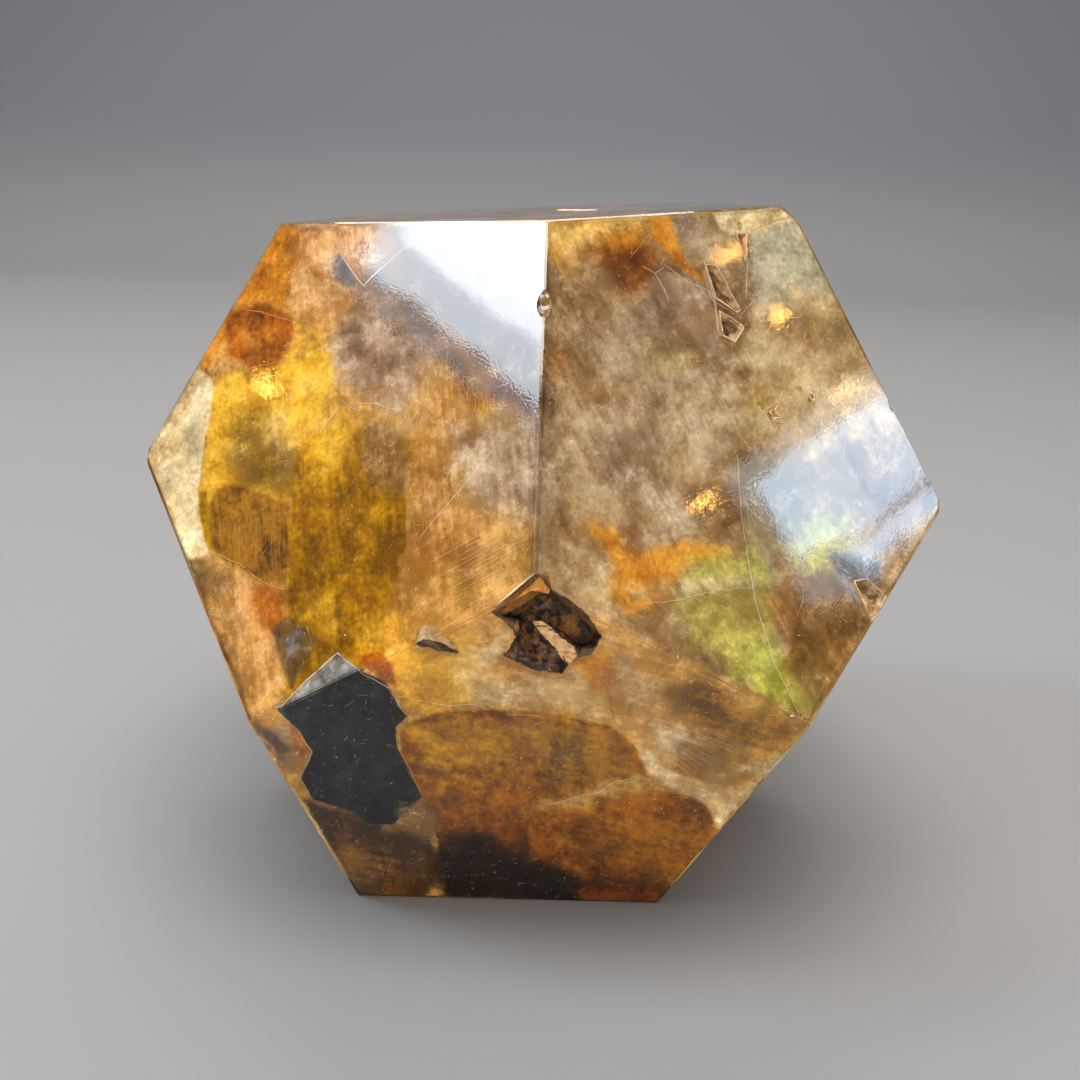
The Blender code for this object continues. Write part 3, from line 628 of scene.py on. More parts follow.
class Recipe:
    """A material's node tree, with short calls for the nodes used here."""

    def __init__(self, name):
        self.material = bpy.data.materials.new(name)
        self.material.use_nodes = True
        self.tree = self.material.node_tree
        self.tree.nodes.clear()
        self.output = self.tree.nodes.new("ShaderNodeOutputMaterial")
        self.place = self.node("ShaderNodeTexCoord").outputs["Object"]

    def node(self, kind, inputs=None, **settings):
        made = self.tree.nodes.new(kind)
        for key, value in settings.items():
            setattr(made, key, value)
        for socket, value in (inputs or {}).items():
            if isinstance(value, bpy.types.NodeSocket):
                self.tree.links.new(value, made.inputs[socket])
            else:
                made.inputs[socket].default_value = value
        return made

    def mix(self, share, low, high, way="MIX"):
        inputs = {0: share, 6: low, 7: high}
        return self.node("ShaderNodeMix", inputs, data_type="RGBA", blend_type=way).outputs[2]

    def reach(self, value, low, high, smooth=True):
        """From 0 where the value is low to 1 where it is high."""
        made = self.node("ShaderNodeMapRange", {0: value, 1: low, 2: high})
        made.interpolation_type = "SMOOTHSTEP" if smooth else "LINEAR"
        return made.outputs[0]

    def cloud(self, size, detail=5.0, roughness=0.55, squeeze=(1.0, 1.0, 1.0), turn=(0.0, 0.0, 0.0)):
        """Soft noise from 0 to 1 whose clouds are this many millimetres across."""
        place = self.place
        if squeeze != (1.0, 1.0, 1.0):
            inputs = {"Vector": self.place, "Scale": squeeze, "Rotation": turn}
            place = self.node("ShaderNodeMapping", inputs).outputs[0]
        inputs = {"Vector": place, "Scale": 1.0 / (size * MM), "Detail": detail, "Roughness": roughness}
        return self.reach(self.node("ShaderNodeTexNoise", inputs).outputs[0], 0.3, 0.7, False)

    def finish(self, surface, volume=None):
        self.tree.links.new(surface, self.output.inputs["Surface"])
        if volume is not None:
            self.tree.links.new(volume, self.output.inputs["Volume"])
        return self.material


def stain_material(name="stain"):
    """Stain, haze and painted light that let part of the light through, painted on each sheet's points."""
    recipe = Recipe(name)
    colour = recipe.node("ShaderNodeAttribute", attribute_name="stain").outputs["Color"]
    cover = recipe.node("ShaderNodeAttribute", attribute_name="cover").outputs["Fac"]
    for size, detail, dark, light in ((0.3, 2.0, 0.74, 1.2), (1.7, 6.0, 0.6, 1.36)):
        grain = recipe.cloud(size, detail, 0.74)
        grain = recipe.mix(grain, (dark, dark, dark, 1.0), (light, light, light, 1.0))
        colour = recipe.mix(1.0, colour, grain, "MULTIPLY")
    front = recipe.node("ShaderNodeBsdfDiffuse", {"Color": colour}).outputs[0]
    behind = recipe.node("ShaderNodeBsdfTranslucent", {"Color": colour}).outputs[0]
    sheet = recipe.node("ShaderNodeMixShader", {0: 0.45, 1: front, 2: behind}).outputs[0]
    gap = recipe.node("ShaderNodeBsdfTransparent").outputs[0]
    return recipe.finish(recipe.node("ShaderNodeMixShader", {0: cover, 1: gap, 2: sheet}).outputs[0])


def crystal_material():
    """Clear quartz that refracts, with a hand-worn polish and a little honey in its depth.

    Light from the lamps passes out through it to what is inside, and only a little of it goes on to
    the floor, because cloudy quartz casts a dark shadow.
    """
    recipe = Recipe("clear_quartz")
    grit = recipe.cloud(0.2, 1.0)
    waves = recipe.cloud(9.0, 1.0)
    fine = recipe.node("ShaderNodeBump", {"Strength": 1.0, "Distance": 0.0008 * MM, "Height": grit})
    inputs = {"Strength": 1.0, "Distance": 0.02 * MM, "Height": waves, "Normal": fine.outputs[0]}
    worn = recipe.node("ShaderNodeBump", inputs)
    inputs = {
        "Base Color": (1.0, 1.0, 1.0, 1.0), "Roughness": 0.0, "IOR": QUARTZ_IOR,
        "Transmission Weight": 1.0, "Normal": worn.outputs[0],
    }
    glass = recipe.node("ShaderNodeBsdfPrincipled", inputs).outputs[0]
    outward = recipe.node("ShaderNodeNewGeometry").outputs["Backfacing"]
    passed = recipe.mix(outward, linear((120, 88, 50)), linear((248, 246, 240)))
    lamplight = recipe.node("ShaderNodeBsdfTransparent", {"Color": passed}).outputs[0]
    shadow = recipe.node("ShaderNodeLightPath").outputs["Is Shadow Ray"]
    surface = recipe.node("ShaderNodeMixShader", {0: shadow, 1: glass, 2: lamplight}).outputs[0]
    inputs = {"Color": linear((244, 228, 190)), "Density": 6.0}
    return recipe.finish(surface, recipe.node("ShaderNodeVolumeAbsorption", inputs).outputs[0])


def crust_material(name, dark, light, gilt, roughness):
    """The lumpy crust that lines a hollow, which looks pale from the quartz side."""
    recipe = Recipe(name)
    lumps = recipe.cloud(0.8, 5.0, 0.62)
    colour = recipe.mix(recipe.reach(lumps, 0.3, 0.85), linear(dark), linear(light))
    colour = recipe.mix(recipe.reach(recipe.cloud(2.2, 3.0), 0.6, 1.0), colour, linear(gilt))
    behind = recipe.node("ShaderNodeNewGeometry").outputs["Backfacing"]
    pale = recipe.mix(lumps, linear((150, 108, 56)), linear((222, 192, 146)))
    colour = recipe.mix(behind, colour, pale)
    bump = recipe.node("ShaderNodeBump", {"Strength": 0.9, "Distance": 0.2 * MM, "Height": lumps})
    inputs = {"Base Color": colour, "Roughness": roughness, "Normal": bump.outputs[0]}
    return recipe.finish(recipe.node("ShaderNodeBsdfPrincipled", inputs).outputs[0])


def ledge_material(paint):
    """Rough crystal in one of the paints' colours."""
    dark, light = PAINTS[paint][:2]
    recipe = Recipe(f"{paint}_ledge")
    lumps = recipe.cloud(0.4, 5.0, 0.7)
    colour = recipe.mix(lumps, linear(dark), linear(light))
    bump = recipe.node("ShaderNodeBump", {"Strength": 0.8, "Distance": 0.15 * MM, "Height": lumps})
    inputs = {"Base Color": colour, "Roughness": 0.35, "Normal": bump.outputs[0]}
    return recipe.finish(recipe.node("ShaderNodeBsdfPrincipled", inputs).outputs[0])


def plain_material(name, colour, roughness=0.6):
    """One colour, for lines and flecks too fine to show more."""
    recipe = Recipe(name)
    inputs = {"Base Color": linear(colour), "Roughness": roughness}
    return recipe.finish(recipe.node("ShaderNodeBsdfPrincipled", inputs).outputs[0])


def floor_material():
    """A pale floor that turns grey where it rises behind the stone."""
    recipe = Recipe("pale_floor")
    height = recipe.node("ShaderNodeSeparateXYZ", {0: recipe.place}).outputs[2]
    colour = recipe.mix(recipe.reach(height, 0.0, 0.09), linear((108, 107, 106)), linear((88, 90, 94)))
    inputs = {"Base Color": colour, "Roughness": 0.75}
    return recipe.finish(recipe.node("ShaderNodeBsdfPrincipled", inputs).outputs[0])


def hashed_slopes(cells, seed):
    """A slope for each whole-numbered place, always the same one for the same place and seed."""
    number = (cells * np.array((73856093, 19349663, 83492791))).sum(1) + seed * 104729
    number = (number ^ (number >> 15)) * 1274126177 & 0x7FFFFFFF
    return SLOPES[(number ^ (number >> 13)) & 255]


def soft_noise(points, size, seed, octaves=1, gain=0.55):
    """Soft noise of about -1 to 1 at each point, with clouds of this size, in the points' own unit."""
    total, weight, strength = np.zeros(len(points)), 0.0, 1.0
    for octave in range(octaves):
        place = points * (2.0 ** octave / size) + (seed * 3.7 + octave * 11.3)
        corner = np.floor(place)
        part = place - corner
        ease = part ** 3 * (part * (part * 6.0 - 15.0) + 10.0)
        for shift in itertools.product((0, 1), repeat=3):
            shift = np.array(shift)
            slopes = hashed_slopes(corner.astype(np.int64) + shift, seed + octave)
            share = np.where(shift, ease, 1.0 - ease).prod(1)
            total += strength * share * ((part - shift) * slopes).sum(1)
        weight += strength ** 2
        strength *= gain
    return total / math.sqrt(weight) * 1.6


def lift(flat, height=0.0):
    """Flat places as points of space, so that noise can be read at them."""
    return np.column_stack((flat, np.full(len(flat), height)))


def turned(flat, degrees, stretch):
    """Flat places as noise for fibres needs them: squeezed along the way that the fibres lie."""
    angle = math.radians(degrees)
    along = flat[:, 0] * math.cos(angle) + flat[:, 1] * math.sin(angle)
    aside = flat[:, 1] * math.cos(angle) - flat[:, 0] * math.sin(angle)
    return np.column_stack((along / stretch, aside))


def signed_distance(points, outline):
    """How far inside a flat outline each point is, negative outside."""
    ring = np.array(outline, float)
    nearest = np.full(len(points), np.inf)
    inside = np.zeros(len(points), bool)
    for start, end in zip(ring, np.roll(ring, -1, 0)):
        run, offset = end - start, points - start
        along = np.clip(offset @ run / (run @ run), 0.0, 1.0)
        nearest = np.minimum(nearest, np.linalg.norm(offset - along[:, None] * run, axis=1))
        spans = (start[1] > points[:, 1]) != (end[1] > points[:, 1])
        rise = np.where(abs(run[1]) < 1e-12, 1e-12, run[1])
        crossing = start[0] + (points[:, 1] - start[1]) / rise * run[0]
        inside ^= spans & (points[:, 0] < crossing)
    return np.where(inside, nearest, -nearest)


def between(low, high, values):
    """From 0 where a value is low to 1 where it is high, eased."""
    share = np.clip((values - low) / (high - low), 0.0, 1.0)
    return share * share * (3.0 - 2.0 * share)


def zones_at(name, where, points, blur):
    """Paint, strength, how far inside the zone each point is and how soft its edge is, in pixels."""
    if name in ZONES:
        bend = [soft_noise(lift(where, 40.0), 70.0, seed, 4) for seed in (51, 52)]
        bend = np.stack(bend, 1)
        for paint, strength, soft, outline in ZONES[name]:
            stray = where + bend * min(1.5 * soft, 16.0)
            yield paint, strength, signed_distance(stray, outline), soft * blur + 4.0 * (blur - 1.0)
        return
    for paint, strength, soft, size, seed, level in FIELDS:
        inside = (soft_noise(points / MM, size, seed, 3) - level) * size * 0.55 / PIXEL
        yield paint, strength, inside, soft * blur / PIXEL
    # Painted shade: darker towards the stone's foot, below the other facets and in the heart.
    low = SHADE_BELOW - points[:, 2] / MM + 1.5 * soft_noise(points / MM, 6.0, 21, 3)
    yield "shade", 0.95, low / PIXEL, 1.2 / PIXEL


def painted(name, where, points, blur):
    """Colour of stain and painted light as the eye reads it, and how much it hides, at each sheet point."""
    seed = 60 + list(FACINGS).index(name) if name in FACINGS else 80
    lie = FIBRES_LIE.get(name, 37.0 * seed)
    place = lift(where, 3.0 * seed)
    cloud = soft_noise(place, 60.0, seed, 6, 0.68)
    mottle = soft_noise(place, 17.0, seed + 1, 4, 0.7)
    fibres = soft_noise(lift(turned(where, lie, 9.0)), 6.0, seed + 2, 3, 0.7)
    wisps = soft_noise(lift(turned(where + 9.0 * cloud[:, None], lie + 65.0, 3.5)), 26.0, seed + 3, 5, 0.72)
    specks = soft_noise(place, 4.2, seed + 4)
    veins = np.abs(soft_noise(place + (0.0, 0.0, 5.0), 34.0, seed + 5, 4, 0.6))
    ragged = 0.5 * mottle + 0.3 * fibres + 0.2 * cloud
    colour, hides = None, None
    for paint, strength, inside, soft in zones_at(name, where, points, blur):
        dark, light, hiding, fibrous = PAINTS[paint]
        texture = 0.65 * cloud + 0.3 * mottle * (1.0 - 0.5 * fibrous) + 0.6 * fibrous * fibres
        tone = np.clip(0.5 + 1.15 * texture + 0.3 * wisps + 0.28 * specks, 0.0, 1.0)[:, None]
        coat = np.array(dark) * (1.0 - tone) + np.array(light) * tone
        if colour is None:
            colour, hides = coat, np.full(len(where), hiding)
            continue
        mask = strength * between(-soft, soft, inside + 1.1 * soft * ragged)
        colour = colour + (coat - colour) * mask[:, None]
        hides = hides + (hiding - hides) * mask
    bare = 1.0 - 0.85 * between(0.8, 1.0, hides)
    pale = 0.48 * between(0.3, 1.2, wisps) * between(-0.7, 0.6, cloud) * bare
    veined = between(0.09, 0.0, veins) * between(-0.3, 0.6, wisps) * (1.0 - between(0.78, 0.9, hides))
    # Painted highlights: pale specks that stand for glints of light.
    painted_glint = between(0.75, 1.15, specks) * between(-0.2, 0.5, mottle)
    for mark, share in ((WISP, pale), (VEIN, veined), (PAINTED_GLINT, painted_glint)):
        colour = colour + (np.array(mark) - colour) * 0.5 * share[:, None]
    gap = (1.0 - hides) * (1.15 - 0.6 * cloud - 0.3 * mottle)
    hides = 1.0 - gap + 0.3 * pale + 0.2 * veined + 0.15 * painted_glint
    return np.clip(colour, 0.0, 255.0) / 255.0, np.clip(hides, 0.0, 1.0)


def add_mesh(name, vertices, faces, material, smooth=True):
    """A new piece of the stone, which rides on it."""
    mesh = bpy.data.meshes.new(name)
    mesh.from_pydata([tuple(v) for v in vertices], [], [tuple(f) for f in faces])
    mesh.validate()
    if smooth:
        mesh.shade_smooth()
    mesh.materials.append(material)
    made = bpy.data.objects.new(name, mesh)
    bpy.context.scene.collection.objects.link(made)
    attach(made, "root")
    return made


def pentagon_grid(corners, steps):
    """An even triangle grid over a facet, as flat points and faces."""
    points, faces, known = [], [], {}

    def number(point):
        key = (round(point[0], 4), round(point[1], 4))
        if key not in known:
            known[key] = len(points)
            points.append(point)
        return known[key]

    middle = np.mean(corners, axis=0)
    for first, second in zip(corners, corners[1:] + corners[:1]):
        side, other = np.array(first) - middle, np.array(second) - middle
        place = {
            (i, j): number(tuple(middle + side * i / steps + other * j / steps))
            for i in range(steps + 1)
            for j in range(steps + 1 - i)
        }
        for i, j in itertools.product(range(steps), repeat=2):
            if i + j < steps:
                faces.append((place[i, j], place[i + 1, j], place[i, j + 1]))
            if i + j < steps - 1:
                faces.append((place[i + 1, j], place[i + 1, j + 1], place[i, j + 1]))
    return np.array(points), faces


class Stone:
    """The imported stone: its facets, and what is inside it."""

    def __init__(self, node):
        self.node = node
        self.facets = measure_facets(node.data)
        self.front_corner = meeting_point([self.facets[name] for name in SHOWN_FACETS])
        self.walls = BVHTree.FromPolygons(
            [v.co.copy() for v in node.data.vertices], [tuple(f.vertices) for f in node.data.polygons]
        )

    def reach_inside(self, point, way, margin):
        """How far one can go this way from a point before coming this close to a facet."""
        reach = math.inf
        for facet in self.facets.values():
            speed = way.dot(facet.normal)
            if speed > 1e-6:
                room = facet.distance - margin - (point - MIDDLE).dot(facet.normal)
                reach = min(reach, room / speed)
        return reach

    def reaches_below(self, facet, points, ways):
        """How far one can go these ways from points of a facet before being nearer to another one."""
        others = [other for other in self.facets.values() if other is not facet]
        normals = np.array([other.normal for other in others])
        room = np.array([other.distance for other in others]) - (points - np.array(MIDDLE)) @ normals.T
        speed = ways @ normals.T - (ways @ np.array(facet.normal))[:, None]
        return np.where(speed > 1e-6, room / np.maximum(speed, 1e-6), np.inf).min(1)

    def within_others(self, facet, point):
        """The point, moved back to where it is just below every facet but this one."""
        for other in self.facets.values():
            over = (point - MIDDLE).dot(other.normal) - other.distance + 0.08 * MM
            if other is not facet and over > 0.0:
                point = point - other.normal * over
        return point

    def depth_below_facets(self, point):
        return min(f.distance - (point - MIDDLE).dot(f.normal) for f in self.facets.values())

    def holds(self, point, clearance):
        """Whether a point is in the quartz and this clear of the walls of the hollows."""
        near, normal, index, distance = self.walls.find_nearest(point)
        if (point - near).dot(normal) > 0.0:
            return False
        in_hollow = self.depth_below_facets(near) > 0.05 * MM
        return not in_hollow or distance > clearance


def stain(piece, colour, hides):
    """Keeps the painted colour and how much it hides on a piece's points, and lets lamplight past it."""
    piece.visible_shadow = False
    mesh = piece.data
    plain = np.where(colour <= 0.04045, colour / 12.92, ((colour + 0.055) / 1.055) ** 2.4)
    filled = np.column_stack((plain, np.ones(len(plain)))).astype(np.float32)
    mesh.attributes.new("stain", "FLOAT_COLOR", "POINT").data.foreach_set("color", filled.ravel())
    cover = hides.astype(np.float32)
    mesh.attributes.new("cover", "FLOAT", "POINT").data.foreach_set("value", cover)


def seen_through(facet, surface):
    """Where points of a shown facet are in the photograph, in pixels, and how sight goes on from them."""
    right, up, forward = (np.array(axis) for axis in camera_axes())
    normal = np.array(facet.normal)
    ray = surface - np.array(CAMERA_AT)
    ahead = ray @ forward
    where = np.stack((ray @ right, -(ray @ up)), 1) / ahead[:, None] * FOCAL_PIXELS + PICTURE / 2.0
    ray /= np.linalg.norm(ray, axis=1)[:, None]
    ratio, into = 1.0 / QUARTZ_IOR, -(ray @ normal)
    root = np.sqrt(1.0 - ratio * ratio * (1.0 - into * into))
    return where, ray * ratio + normal * (ratio * into - root)[:, None]


def stain_sheet(stone, facet, material, label, depth, relief, fine, coarse, blur):
    """A sheet of stain below a facet, curved a little, with its zones where sight through it falls."""
    shown = facet.name in SHOWN_FACETS
    flat, faces = pentagon_grid(facet.corners, fine if shown else coarse)
    flat = flat * 0.996 + flat.mean(0) * 0.004
    axes = np.array([facet.across, facet.up])
    surface = np.array(facet.origin) + flat @ axes * MM
    normal = np.array(facet.normal)
    where, way = flat / PIXEL, np.tile(-normal, (len(flat), 1))
    if shown:
        where, way = seen_through(facet, surface)
    waves = soft_noise(surface / MM, 9.0, 31 + int(depth), 2)
    slant = -(way @ normal)
    down = (depth + relief * waves) * MM / slant
    down = np.minimum(down, 0.97 * stone.reaches_below(facet, surface, way))
    down = np.maximum(down, 0.05 * MM / slant)
    points = surface + way * down[:, None]
    kept = [stone.holds(Vector(point), 0.2 * MM) for point in points]
    faces = [face for face in faces if all(kept[corner] for corner in face)]
    used = sorted({corner for face in faces for corner in face})
    place = {old: new for new, old in enumerate(used)}
    faces = [[place[corner] for corner in face] for face in faces]
    points, where = points[used], where[used]
    made = add_mesh(f"{label}_{facet.name}", points, faces, material)
    colour, hides = painted(facet.name, where, points, blur)
    opaque = between(0.75, 0.96, hides)
    stain(made, colour, hides * (THIN_STAIN + (1.0 - THIN_STAIN) * opaque))


def hollow_faces(stone):
    """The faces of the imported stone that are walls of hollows, and not of chips or dulled edges."""
    mesh = stone.node.data
    found = []
    for face in mesh.polygons:
        depths = [stone.depth_below_facets(mesh.vertices[i].co) for i in face.vertices]
        if max(depths) > DEEPEST_CHIP:
            found.append(face.index)
    return found


def dress_crystal(stone):
    """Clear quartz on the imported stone, and a crust on the walls of its hollows."""
    mesh = stone.node.data
    mesh.materials.clear()
    mesh.materials.append(crystal_material())
    for crust in CRUSTS:
        mesh.materials.append(crust_material(*crust))
    for face in mesh.polygons:
        face.material_index = 0
    for index in hollow_faces(stone):
        face = mesh.polygons[index]
        face.material_index = 1 + ((face.center - stone.front_corner).length > BIG_HOLLOW)


def tube(path, radius, vertices, faces, ends=0.35):
    """Adds a thin three-sided tube along a path, thinner at its ends, to a list of vertices and faces."""
    rings = []
    for i, point in enumerate(path):
        run = (path[min(i + 1, len(path) - 1)] - path[max(i - 1, 0)]).normalized()
        side = run.orthogonal().normalized()
        other = run.cross(side)
        rings.append(len(vertices))
        share = math.sin(math.pi * (i + 0.6) / (len(path) + 0.2))
        for turn in range(3):
            angle = 2.0 * math.pi * turn / 3.0
            reach = radius * (ends + (1.0 - ends) * share)
            vertices.append(point + (side * math.cos(angle) + other * math.sin(angle)) * reach)
    for low, high in zip(rings, rings[1:]):
        for turn in range(3):
            after = (turn + 1) % 3
            faces.append((low + turn, low + after, high + after, high + turn))
    first, last = rings[0], rings[-1]
    faces.append((first + 2, first + 1, first))
    faces.append((last, last + 1, last + 2))


def line_path(stone, number, name, depth, line):
    """The path of a fracture line, a little uneven, where sight through the facet falls."""
    facet = stone.facets[name]
    corners = [np.array(facet.seen(px, py)) for px, py in line]
    flat = []
    for start, end in zip(corners, corners[1:]):
        count = max(2, int(np.linalg.norm(end - start) / 0.35))
        flat += [start + (end - start) * step / count for step in range(count)]
    flat.append(corners[-1])
    path = []
    for u, v in flat:
        way = facet.inward(u, v)
        start = facet.at(u, v)
        if stone.depth_below_facets(start) < -0.01 * MM:
            continue
        sway = noise.noise(Vector((u, v, 3.1 * number)) / 0.9) * 0.07
        down = min(depth * MM / -way.dot(facet.normal), stone.reach_inside(start, way, 0.1 * MM))
        path.append(start + way * down + (facet.up + facet.across) * sway * MM)
    return path


def striae_paths(stone, chance, name, depth, count, first, last):
    """The paths of fine parallel lines, each over a part of its way between the first and the last."""
    facet = stone.facets[name]
    for number in range(count):
        share = (number + chance.uniform(-0.3, 0.3)) / (count - 1)
        ends = []
        for start, end in zip(first, last):
            px, py = (a + (b - a) * share for a, b in zip(start, end))
            ends.append(np.array(facet.seen(px, py)))
        low, high = sorted((chance.uniform(0.0, 0.45), chance.uniform(0.55, 1.0)))
        path = []
        for step in range(7):
            u, v = ends[0] + (ends[1] - ends[0]) * (low + (high - low) * step / 6.0)
            way = facet.inward(u, v)
            bend = chance.gauss(0.0, 0.015)
            path.append(facet.at(u + bend, v) + way * depth * MM / -way.dot(facet.normal))
        yield path


def fracture_lines(stone):
    """Thin bright lines where fractures meet the light, just below the facets."""
    made = {tone: ([], []) for tone in THREADS}
    for number, (name, tone, depth, width, line) in enumerate(LINES):
        tube(line_path(stone, number, name, depth, line), width * MM / 2.0, *made[tone])
    chance = random.Random(SEED + 1)
    for name, tone, depth, width, count, first, last in STRIAE:
        for path in striae_paths(stone, chance, name, depth, count, first, last):
            tube(path, width * MM / 2.0, *made[tone])
    for tone, (vertices, faces) in made.items():
        add_mesh(f"{tone}_fracture_lines", vertices, faces, plain_material(f"{tone}_line", THREADS[tone]))


def hollow_rims(stone):
    """Thin rims where the hollows open in the facets: ragged on the large one, pale on the others."""
    mesh = stone.node.data
    hollow = set(hollow_faces(stone))
    places = [tuple(round(part / (0.001 * MM)) for part in vertex.co) for vertex in mesh.vertices]
    sides = {}
    for face in mesh.polygons:
        for a, b in face.edge_keys:
            sides.setdefault(frozenset((places[a], places[b])), []).append((face.index, a, b))
    ragged, pale = ([], []), ([], [])
    for pair in sides.values():
        if len(pair) == 2 and (pair[0][0] in hollow) != (pair[1][0] in hollow):
            start, end = mesh.vertices[pair[0][1]].co, mesh.vertices[pair[0][2]].co
            sunk = max(stone.depth_below_facets(start), stone.depth_below_facets(end))
            if sunk < 0.5 * MM:
                large = (start - stone.front_corner).length < BIG_HOLLOW
                swing, stride, radius = RAGGED_RIM if large else FINE_RIM
                way = (end - start).normalized()
                count = max(1, round((end - start).length / (stride * MM)))
                path = [start.lerp(end, step / count) for step in range(count + 1)]
                for i, point in enumerate(path):
                    sway = noise.noise_vector(point / (stride * MM)) * swing * MM
                    path[i] = point + (sway - way * sway.dot(way)) * (0 < i < count)
                tube(path, radius * MM, *(ragged if large else pale), 1.0)
    add_mesh("ragged_rims", *ragged, plain_material("dark_rim", (74, 48, 26)))
    add_mesh("hollow_rims", *pale, plain_material("pale_rim", (206, 172, 134)))


def ledges(stone):
    """The golden ledge and the pale blade that stand in the large hollow."""
    made = {}
    for name, paint, thick, sunk, outline in LEDGES:
        vertices, faces = made.setdefault(paint, ([], []))
        facet = stone.facets[name]
        first, count = len(vertices), len(outline)
        for depth, swing in ((sunk, 0.03), (sunk + thick, 0.25)):
            for number, (px, py) in enumerate(outline):
                u, v = facet.seen(px, py)
                uneven = min(swing, 0.6 * thick) * noise.noise(Vector((u, v, 2.0 * number)))
                vertices.append(stone.within_others(facet, facet.at(u, v, depth + uneven)))
        faces.append(tuple(range(first, first + count)))
        faces.append(tuple(reversed(range(first + count, first + 2 * count))))
        for i in range(count):
            j = (i + 1) % count
            faces.append((first + i, first + i + count, first + j + count, first + j))
    for paint, (vertices, faces) in made.items():
        add_mesh(f"{paint}_ledges", vertices, faces, ledge_material(paint), smooth=False)


def hollow_lining(stone):
    """A lumpy crust on the walls of the hollows."""
    mesh = stone.node.data
    crust = bmesh.new()
    crust.from_mesh(mesh)
    crust.faces.ensure_lookup_table()
    hollow = set(hollow_faces(stone))
    rest = [face for face in crust.faces if face.index not in hollow]
    bmesh.ops.delete(crust, geom=rest, context="FACES")
    bmesh.ops.remove_doubles(crust, verts=crust.verts, dist=0.001 * MM)
    bmesh.ops.triangulate(crust, faces=crust.faces)
    for _ in range(3):
        long_edges = [edge for edge in crust.edges if edge.calc_length() > 0.45 * MM]
        bmesh.ops.subdivide_edges(crust, edges=long_edges, cuts=1)
        bmesh.ops.triangulate(crust, faces=crust.faces)
    crust.normal_update()
    for vertex in crust.verts:
        if not vertex.is_boundary:
            lump = 0.16 + 0.2 * noise.fractal(vertex.co / (0.9 * MM), 1.0, 2.0, 4)
            vertex.co += vertex.normal * max(0.03, lump) * MM
    lining = bpy.data.meshes.new("oxide_lining")
    crust.to_mesh(lining)
    crust.free()
    lining.materials.clear()
    for crust in CRUSTS:
        lining.materials.append(bpy.data.materials[crust[0]])
    for face in lining.polygons:
        face.material_index = int((face.center - stone.front_corner).length > BIG_HOLLOW)
    lining.shade_flat()
    made = bpy.data.objects.new("oxide_lining", lining)
    bpy.context.scene.collection.objects.link(made)
    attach(made, "root")


def random_spot(facet, chance):
    """A random place on a facet, away from its edges."""
    middle = np.mean(facet.corners, axis=0)
    far, across = chance.random() ** 0.5, chance.random()
    i = chance.randrange(len(facet.corners))
    first, second = facet.corners[i], facet.corners[(i + 1) % len(facet.corners)]
    edge = np.array(first) * across + np.array(second) * (1.0 - across)
    return middle + (edge - middle) * far * 0.985


def add_needles(stone, facet, count, chance, made):
    """Short fine needles that mostly lie one way."""
    lie = NEEDLES_LIE.get(facet.name, chance.uniform(0.0, math.pi))
    for _ in range(count):
        u, v = random_spot(facet, chance)
        depth = 0.35 + 2.4 * chance.random() ** 2.2
        angle = lie + chance.gauss(0.0, 0.5)
        run = facet.across * math.cos(angle) + facet.up * math.sin(angle)
        run = (run + facet.normal * chance.gauss(0.0, 0.35)).normalized()
        middle = facet.at(u, v, depth)
        length = chance.uniform(0.06, 0.3) * chance.choice((0.6, 1.0, 1.0, 2.0)) * MM
        ends = [middle - run * length, middle, middle + run * length]
        if all(stone.reach_inside(end, facet.normal, 0.08 * MM) > 0.0 for end in ends):
            if all(stone.holds(end, 0.1 * MM) for end in ends[::2]):
                tube(ends, chance.uniform(0.008, 0.018) * MM, *made)


def add_hairs(stone, facet, count, chance, made):
    """Long hairs that bend a little."""
    for _ in range(count):
        u, v = random_spot(facet, chance)
        angle, turn = chance.uniform(0.0, 2.0 * math.pi), chance.gauss(0.0, 0.05)
        depth, step = chance.uniform(0.25, 0.8), chance.uniform(0.12, 0.4)
        path = []
        for _ in range(9):
            path.append(facet.at(u, v, depth))
            u, v = u + step * math.cos(angle), v + step * math.sin(angle)
            angle += turn + chance.gauss(0.0, 0.14)
        if all(stone.reach_inside(point, facet.normal, 0.08 * MM) > 0.0 for point in path):
            if all(stone.depth_below_facets(p) > 0.08 * MM and stone.holds(p, 0.1 * MM) for p in path):
                tube(path, chance.uniform(0.008, 0.014) * MM, *made)


def add_flecks(stone, facet, count, chance, made):
    """Bright three-cornered flecks in loose swarms."""
    points, faces = made
    for _ in range(count):
        u, v = random_spot(facet, chance)
        middle = facet.at(u, v, 0.2 + 1.2 * chance.random() ** 1.8)
        swarm = noise.noise(middle / (2.6 * MM)) + 0.5 * noise.noise(middle / (0.9 * MM))
        if swarm < chance.uniform(-0.5, 0.4) or not stone.holds(middle, 0.1 * MM):
            continue
        size = chance.uniform(0.025, 0.065) * chance.choice((1.0, 1.0, 1.0, 1.8)) * MM
        corners = []
        for _ in range(3):
            shift = Vector([chance.gauss(0.0, 1.0) for _ in range(3)]).normalized()
            corners.append(len(points))
            points.append(middle + shift * size)
        faces.append(corners)


def needles_and_flecks(stone, chance):
    """Needles, hairs and flecks below every facet, but no hairs below the low front one."""
    needles, flecks = ([], []), ([], [])
    for name, facet in stone.facets.items():
        hidden = name not in SHOWN_FACETS
        add_needles(stone, facet, NEEDLES[hidden], chance, needles)
        add_hairs(stone, facet, 0 if name == "low_front" else HAIRS, chance, needles)
        add_flecks(stone, facet, FLECKS[hidden], chance, flecks)
    add_mesh("needles", *needles, plain_material("needle", (222, 198, 164)))
    add_mesh("flecks", *flecks, plain_material("fleck", (255, 240, 206), 0.35), smooth=False)


